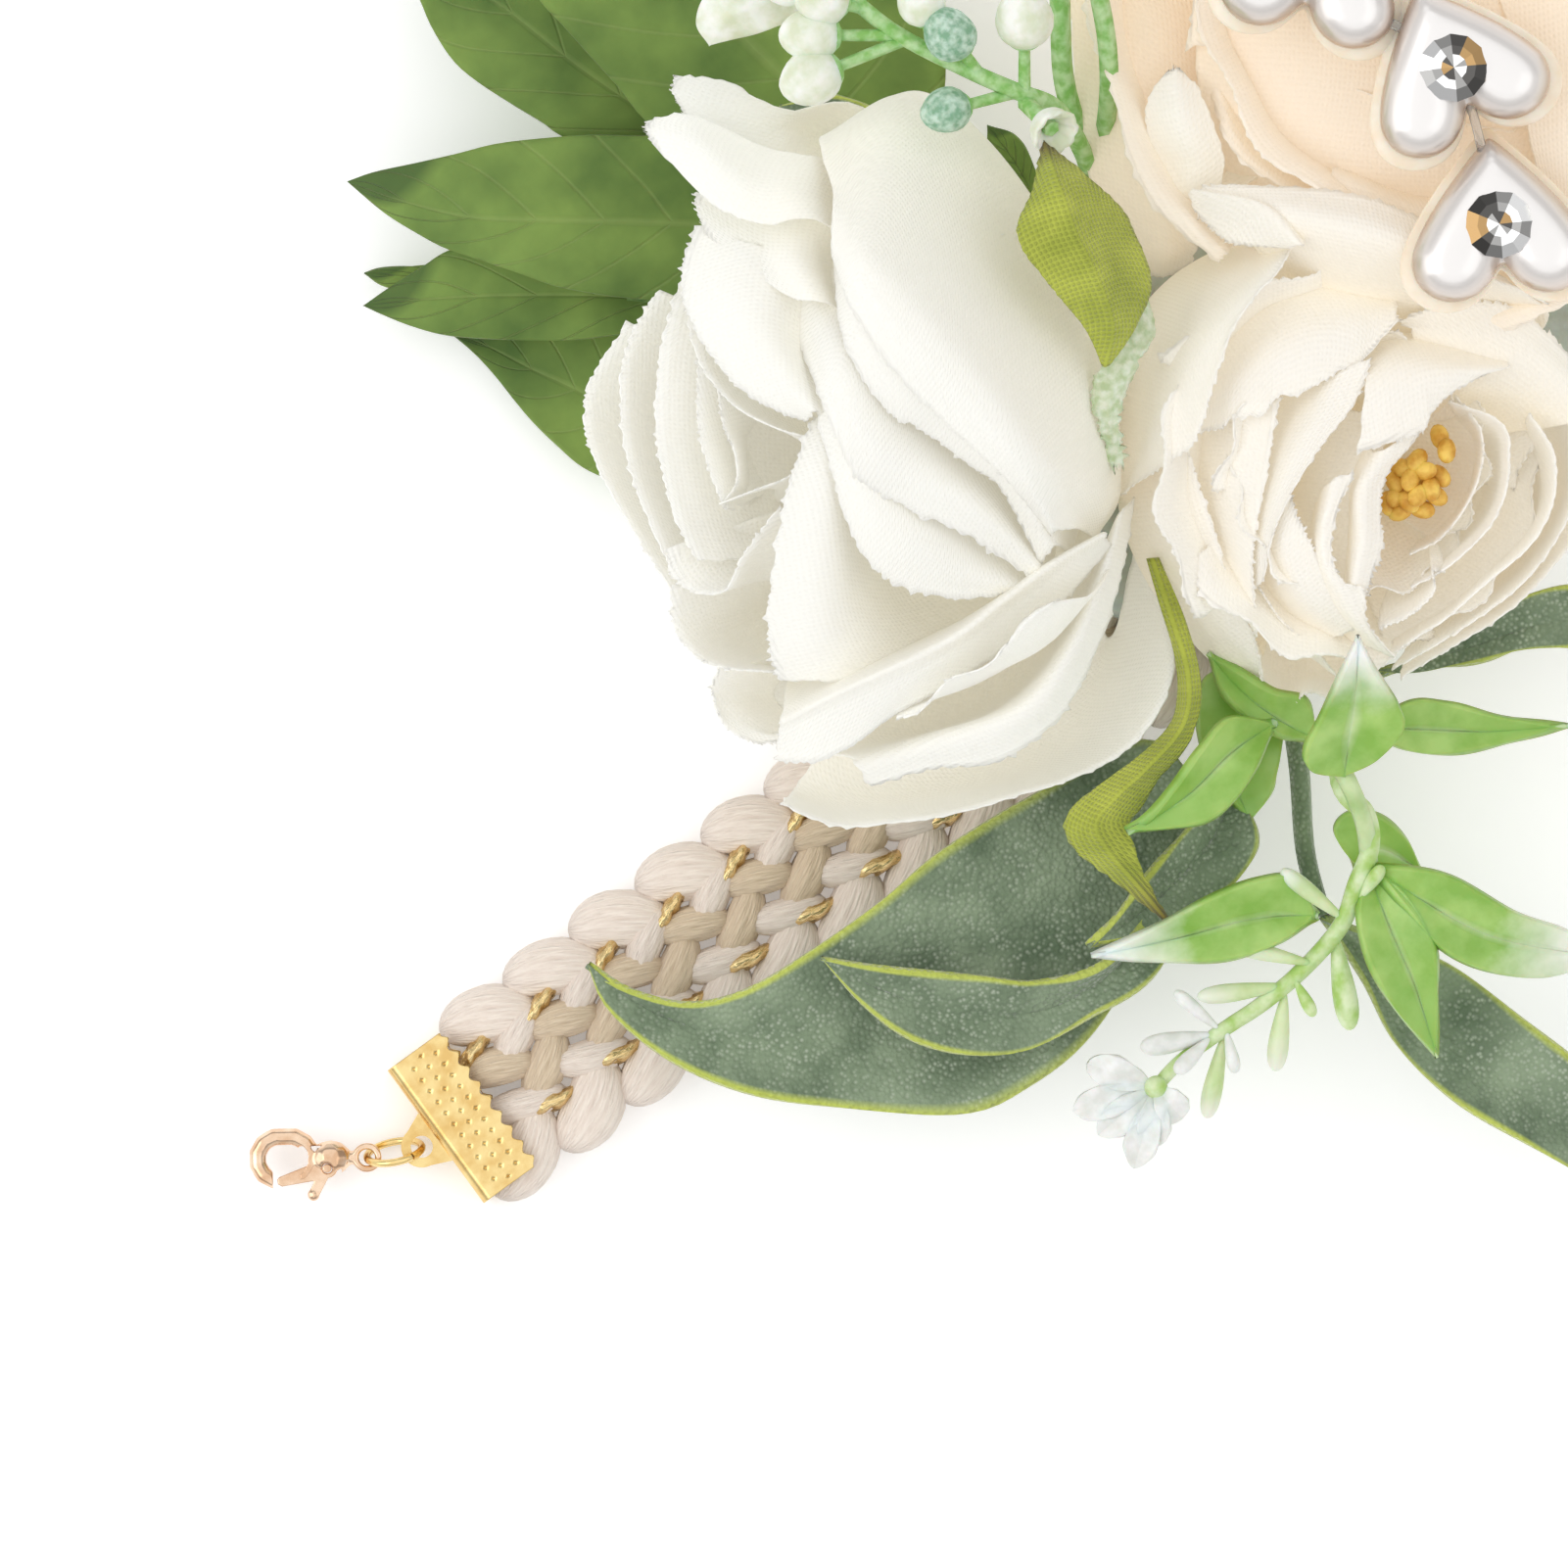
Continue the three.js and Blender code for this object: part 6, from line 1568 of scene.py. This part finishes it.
# Pearl strand: puffed heart pearls moulded on a clear thread, each with a clear resin flange round it and a
# cut rhinestone on a foil set in its middle.
heart_wide = 13.4
heart_deep = 4.6
thread_half = 0.35
stone_half = 2.55
stone_high = 1.7
heart_voxel = 0.24
heart_round = 3.2
stone_proud = 0.3
# The flange's width, depth and drop against its heart
flange_wide = 1.13
flange_deep = 0.42
flange_drop = 1.2
glue_top = 10.6
rim_height = 22.03
# Each heart's bearing and reach from the champagne rose, rise over its middle petals in heart depths, turn
hearts = ((233, 0.16, 0.95, 168), (246, 0.6, 0.64, 150), (126, 0.4, 0.95, 130), (96, 0.86, 0.38, 60))
thread_order = (1, 0, 2, 3)
# The outline from its point round by the notch, in half widths: each corner, then its two handles
heart_knots = (
    ((0, -1), (-0.25, -0.78), (0.25, -0.78)),
    ((1, 0.35), (1, 0.0), (1, 0.85)),
    ((0, 0.36), (0.24, 1.05), (-0.24, 1.05)),
    ((-1, 0.35), (-1, 0.85), (-1, 0.0)),
)


def remeshed(piece, voxel, turns):
    """Merges a piece into one skin of voxels of that many mm, and smooths it that many times."""
    skin = piece.modifiers.new("skin", "REMESH")
    skin.mode = "VOXEL"
    skin.voxel_size = voxel * mm
    evened = piece.modifiers.new("evened", "SMOOTH")
    evened.factor = 0.5
    evened.iterations = turns
    apply_all(piece)


def pearl_heart():
    """A puffed heart: a slab cut to the outline, then rounded by the distance from it."""
    curve = bpy.data.curves.new("heart", "CURVE")
    curve.dimensions = "2D"
    curve.fill_mode = "BOTH"
    curve.resolution_u = 48
    spline = curve.splines.new("BEZIER")
    spline.bezier_points.add(len(heart_knots) - 1)
    spline.use_cyclic_u = True
    half = heart_wide / 2 * mm
    for point, (corner, before, after) in zip(spline.bezier_points, heart_knots):
        point.handle_left_type = "FREE"
        point.handle_right_type = "FREE"
        point.co = (corner[0] * half, corner[1] * half, 0)
        point.handle_left = (before[0] * half, before[1] * half, 0)
        point.handle_right = (after[0] * half, after[1] * half, 0)
    curve.extrude = heart_deep / 2 * mm
    made = meshed(curve)
    outline = np.array([vertex.co[:2] for vertex in made.data.vertices])
    remeshed(made, heart_voxel, 3)
    for vertex in made.data.vertices:
        gap = np.hypot(*(outline - np.array(vertex.co[:2])).T).min() / (heart_round * mm)
        vertex.co.z *= math.sqrt(1 - (1 - min(1, gap)) ** 2)
    remeshed(made, heart_voxel, 8)
    return smooth(made)


def near(rose, bearing, reach):
    """A place on the glue by its bearing from a rose's base and its reach in radii of the rose."""
    shape = rose_shapes[rose]
    out = reach * shape["radius"]
    angle = math.radians(bearing)
    x, y, z = shape["base"]
    return Vector((x + out * math.cos(angle), y + out * math.sin(angle), glue_top))


pearl, tree, shader = finish_of(
    "pearl_lacquered_abs", Metallic=0.45, Roughness=0.24, Coat_Weight=0.8, Coat_Roughness=0.06
)
# Painted shade and reflection: each pearl is coloured darker and warmer where its surface turns to the side
# and pale where it faces up, standing in for the light from above and the dim bands that it reflects.
facing = put(tree, "NewGeometry")
lie = put(tree, "SeparateXYZ", {"Vector": facing.outputs["Normal"]})
facing_up = put(tree, "MapRange", {"Value": lie.outputs["Z"], "From Min": 0.3, "From Max": 0.95})
painted_side_shade = put(tree, "Mix", {0: facing_up, 6: linear("#bfa894"), 7: linear("#f1eeec")}, data_type="RGBA")
tree.links.new(painted_side_shade.outputs[2], shader.inputs["Base Color"])
flange_plastic = moulded("creamy_clear_casting_resin", ("#f7e6cd", "#fbf0de"), 0.3, 2.0, 0.03, 0.3)
clear_thread = finish_of("clear_nylon_thread", Roughness=0.15, Transmission_Weight=0.9, IOR=1.5)[0]
# Painted reflections: each facet of the cut glass gets a mirror finish tinted bright, dark, warm or grey,
# painted in place of the parts of the room that the foil behind it would reflect.
painted_facet_reflections = []
for name, tone in (("bright", "#ffffff"), ("shaded", "#4c4a47"), ("warm", "#b9935c"), ("grey", "#a5a4a2")):
    look, tree, shader = finish_of(f"cut_glass_painted_reflection_{name}", Metallic=1.0, Roughness=0.06, Coat_Weight=1.0)
    shader.inputs["Base Color"].default_value = linear(tone)
    painted_facet_reflections.append(look)
facet_order = (0, 1, 3, 2, 0, 3, 1, 0, 2, 0, 1, 3)
stone_sides = 12

flange_shape = Matrix.Translation((0, 0, -flange_drop * mm)) @ Matrix.Diagonal(
    (flange_wide, flange_wide, flange_deep, 1)
)
template = pearl_heart()
pearls = []
middles = []
for i, (bearing, reach, rise, spin) in enumerate(hearts):
    foot = near("champagne_rose", bearing, reach) + Vector((0, 0, rim_height + rise * heart_deep))
    middles.append(foot + Vector((0, 0, heart_deep / 2)))
    turned = Matrix.Translation(middles[i] * mm) @ Matrix.Rotation(math.radians(spin), 4, "Z")
    for look, shape in ((pearl, Matrix()), (flange_plastic, flange_shape)):
        part = twin(template)
        part.data.materials.append(look)
        part.data.transform(turned @ shape)
        pearls.append(part)
    stone_foot = foot + Vector((0, 0, heart_deep - stone_high / 2 + stone_proud))
    bpy.ops.object.select_all(action="DESELECT")
    bpy.ops.mesh.primitive_cylinder_add(
        vertices=stone_sides, radius=stone_half * mm, depth=0.55 * stone_high * mm, location=stone_foot * mm
    )
    stone = bpy.context.object
    bpy.ops.object.mode_set(mode="EDIT")
    bpy.ops.mesh.select_all(action="DESELECT")
    bpy.ops.object.mode_set(mode="OBJECT")
    top = max(stone.data.polygons, key=lambda face: face.center.z)
    top.select = True
    bpy.ops.object.mode_set(mode="EDIT")
    bpy.ops.mesh.select_mode(type="FACE")
    bpy.ops.mesh.inset(thickness=0.34 * stone_half * mm, depth=0.36 * stone_high * mm)
    bpy.ops.mesh.inset(thickness=0.26 * stone_half * mm, depth=0.1 * stone_high * mm)
    bpy.ops.mesh.poke(offset=-0.12 * stone_high * mm)
    bpy.ops.object.mode_set(mode="OBJECT")
    stone = settle(stone, f"cut_rhinestone_{i + 1}", *painted_facet_reflections)
    for k, face in enumerate(stone.data.polygons):
        face.material_index = facet_order[(5 * k + i) % stone_sides]
    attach(stone, "corsage")
    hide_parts(f"rhinestone_{i + 1}")
bpy.data.objects.remove(template)
pearls.append(tube([middles[i] for i in thread_order], thread_half, clear_thread, steps=16))
strand = settle(join(pearls, "pearls"), "heart_pearl_strand")
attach(strand, "corsage")
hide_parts("pearl_strand")


# Hot glue bed: clear craft glue poured round the strap and the stems, lumpy where it set.
glue_voxel = 0.8


def melted(node, name, voxel, turns):
    """A merged copy of a solid, remeshed finely and smoothed."""
    made = rounded_copy(node, name, 0)
    remeshed(made, voxel, turns)
    return smooth(made)


hot_glue, tree, shader = finish_of(
    "clear_hot_melt_glue", Roughness=0.25, Transmission_Weight=0.3, Coat_Weight=0.3, Subsurface_Weight=0.3
)
colour, lumps = speckled(tree, ("#d9dbd0", "#eeefe8"), 2.5)
tree.links.new(colour, shader.inputs["Base Color"])
raised(tree, shader, lumps, 0.5)
glue = settle(melted("hot_glue_bed", "glue", glue_voxel, 4), "hot_melt_glue_bed", hot_glue)
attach(glue, "corsage")
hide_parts("hot_glue_bed")


# Ribbon crimps: sheet brass folded over the strap's ends and bitten shut, gold plated, with dimples pressed
# in staggered rows, toothed lips and a pierced tab soldered to the fold.
crimp_wide = 12.6
crimp_deep = 4.8
crimp_high = 5.2
crimp_wall = 0.5
crimp_fold = 0.9
tooth_pitch = 1.4
tooth_high = 0.5
dimple_start = 1.0
dimple_edge = 0.7
dimple_margin = 0.5
dimple_pitch = 1.04
dimple_reach = 0.3
dimple_depth = 0.2
crimp_grain = 0.1
tab_length = 2.9
tab_wall = 0.6
tab_hole = 0.85
tab_hole_reach = 1.35
tab_ear = 0.75
tab_steps = 24


def plated(name, colours, roughness, scratch=0.0):
    """Polished plated metal with a faint unevenness of its polish."""
    made, tree, shader = finish_of(name, Metallic=1.0, Roughness=roughness)
    colour, haze = speckled(tree, colours, 1.5)
    tree.links.new(colour, shader.inputs["Base Color"])
    if scratch:
        raised(tree, shader, haze, scratch)
    return made


gold = plated("gold_plated_brass", ("#e2bd78", "#f3d999"), 0.24, 0.02)


def crimp(name):
    """A crimp with its mouth at 0, its fold at +X and its middle on the X axis."""
    half = (crimp_high - crimp_wall) / 2
    bend = crimp_fold - crimp_wall / 2
    flat = crimp_deep - crimp_fold
    arc = math.pi / 2 * bend
    back = 2 * half - 2 * bend
    lengths = np.cumsum([0, flat, arc, back, arc, flat])
    steps = int(lengths[-1] / crimp_grain)
    columns = int(crimp_wide / crimp_grain)
    rows = []
    ways = []
    for run in np.linspace(0, lengths[-1], steps + 1):
        if run <= lengths[1]:
            rows.append((run, half))
            ways.append((0, 1))
        elif run <= lengths[2]:
            angle = (run - lengths[1]) / bend
            rows.append((flat + bend * math.sin(angle), half - bend + bend * math.cos(angle)))
            ways.append((math.sin(angle), math.cos(angle)))
        elif run <= lengths[3]:
            rows.append((flat + bend, half - bend - (run - lengths[2])))
            ways.append((1, 0))
        elif run <= lengths[4]:
            angle = (run - lengths[3]) / bend
            rows.append((flat + bend * math.cos(angle), -half + bend - bend * math.sin(angle)))
            ways.append((math.cos(angle), -math.sin(angle)))
        else:
            rows.append((flat - (run - lengths[4]), -half))
            ways.append((0, -1))
    across = np.linspace(-crimp_wide / 2, crimp_wide / 2, columns + 1)
    place = np.zeros((steps + 1, columns + 1, 3))
    teeth = tooth_high * np.abs(np.sin(np.pi * across / tooth_pitch)) ** 1.5
    for i, ((x, z), way) in enumerate(zip(rows, ways)):
        lip = np.clip(1 - x / (2 * tooth_high), 0, 1) if abs(z) > half - 0.01 else 0
        line = np.round((x - dimple_start) / dimple_pitch)
        off = across - (line % 2) * dimple_pitch / 2
        near_dimple = np.abs(off / dimple_pitch - np.round(off / dimple_pitch)) * dimple_pitch
        gap = np.hypot(near_dimple, x - dimple_start - line * dimple_pitch)
        inside = (abs(z) > half - 0.01) * (x > dimple_edge) * (x < flat)
        inside = inside * (np.abs(across) < crimp_wide / 2 - dimple_margin)
        dent = dimple_depth * inside * np.clip(1 - (gap / dimple_reach) ** 2, 0, 1)
        place[i, :, 0] = x - way[0] * dent + lip * (teeth - tooth_high)
        place[i, :, 1] = across
        place[i, :, 2] = z - way[1] * dent
    shell = sheet(f"{name} shell", place, crimp_wall, gold)
    curve = bpy.data.curves.new("tab", "CURVE")
    curve.dimensions = "2D"
    curve.fill_mode = "BOTH"
    curve.extrude = tab_wall / 2 * mm
    root = tab_length * 0.8
    ear = tab_hole + tab_ear
    rim = [
        (tab_hole_reach + ear * math.sin(a), ear * math.cos(a))
        for a in np.linspace(0.15, math.pi - 0.15, tab_steps)
    ]
    hole = [
        (tab_hole_reach + tab_hole * math.cos(a), tab_hole * math.sin(a))
        for a in (2 * math.pi * i / tab_steps for i in range(tab_steps))
    ]
    for outline in ([(-0.1, -root), (-0.1, root), *rim], hole):
        spline = curve.splines.new("POLY")
        spline.points.add(len(outline) - 1)
        for point, (x, y) in zip(spline.points, outline):
            point.co = (x * mm, y * mm, 0, 1)
        spline.use_cyclic_u = True
    tab = meshed(curve)
    tab.data.transform(Matrix.Translation((crimp_deep * mm, 0, 0)))
    tab.data.materials.append(gold)
    return join([shell, tab], name)


for end, way in (("clasp", -1), ("chain", 1)):
    low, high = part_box(f"{end}_end_crimp")
    mouth = high.x if way < 0 else low.x
    piece = crimp(f"{end} crimp")
    turn = Matrix.Rotation(0 if way > 0 else math.pi, 4, "Z")
    piece.data.transform(Matrix.Translation((mouth, 0, (low.z + high.z) / 2)) @ turn)
    piece = settle(piece, f"{end}_ribbon_crimp")
    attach(piece, f"{end}_wing_3")
    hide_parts(f"{end}_end_crimp")


# Jump rings: round gold-plated wire, cut and bent shut, one in each tab.
ring_half = 2.15
ring_wire = 0.3
ring_split = 0.05
ring_split_at = 2.2
ring_steps = 56
ring_lean = 70


def open_ring(middle, turned):
    """A wire ring with a hairline split, in its own plane turned by a matrix."""
    points = []
    for i in range(ring_steps):
        angle = ring_split / 2 + (2 * math.pi - ring_split) * i / (ring_steps - 1) + ring_split_at
        points.append(turned @ Vector((ring_half * math.cos(angle), ring_half * math.sin(angle), 0)) + middle)
    return drawn_wire(points, ring_wire, 3)


for end, yaw in (("clasp", 155), ("chain", 0)):
    low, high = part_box(f"{end}_jump_ring")
    middle = (low + high) / 2 / mm
    turned = Matrix.Rotation(math.radians(yaw), 3, "Z") @ Matrix.Rotation(math.radians(ring_lean), 3, "X")
    ring = settle(open_ring(middle, turned), f"{end}_wire_jump_ring", gold)
    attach(ring, f"{end}_ring")
    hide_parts(f"{end}_jump_ring")


# Lobster clasp: a cast rose-gold body with an eye and a hook, and its sprung lever on a pin.
# Each casting's node, body, voxel in mm and smoothing turns
castings = (
    ("clasp_body", "clasp", 0.1, 14),
    ("clasp_trigger", "trigger", 0.08, 3),
    ("clasp_trigger_pin", "clasp", 0.06, 1),
)
rose_gold = plated("rose_gold_plated_zinc", ("#dcb491", "#f2d6ba"), 0.14, 0.01)
spring_wire = plated("spring_steel_wire", ("#a9aaa8", "#c9cac8"), 0.3)
for node, body, voxel, turns in castings:
    piece = settle(melted(node, node, voxel, turns), f"{node}_casting", rose_gold)
    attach(piece, body)
    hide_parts(node)
piece = settle(rounded_copy("clasp_trigger_spring", "spring", 1), "trigger_leaf_spring", spring_wire)
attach(piece, "clasp")
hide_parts("clasp_trigger_spring")


# Extender chain: oval links of round wire, soldered shut, lying and standing in turn, and a cast drop.
link_length = 4.6
link_width = 3.2
link_wire = 0.35
drop_voxel = 0.12
for i in range(1, 5):
    low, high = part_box(f"chain_link_{i}")
    bpy.ops.object.select_all(action="DESELECT")
    bpy.ops.mesh.primitive_torus_add(
        major_radius=(link_width / 2 - link_wire) * mm, minor_radius=link_wire * mm,
        major_segments=40, minor_segments=14,
    )
    link = bpy.context.object
    for vertex in link.data.vertices:
        if abs(vertex.co.x) > 1e-7:
            vertex.co.x += math.copysign((link_length - link_width) / 2 * mm, vertex.co.x)
    smooth(link)
    standing = Matrix.Rotation(math.pi / 2 * ((i - 1) % 2), 4, "X")
    link.data.transform(Matrix.Translation((low + high) / 2) @ standing)
    link = settle(link, f"oval_chain_link_{i}", gold)
    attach(link, f"link_{i}")
    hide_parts(f"chain_link_{i}")
drop = settle(melted("chain_end_drop", "drop", drop_voxel, 5), "chain_drop_casting", gold)
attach(drop, "drop")
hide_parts("chain_end_drop")
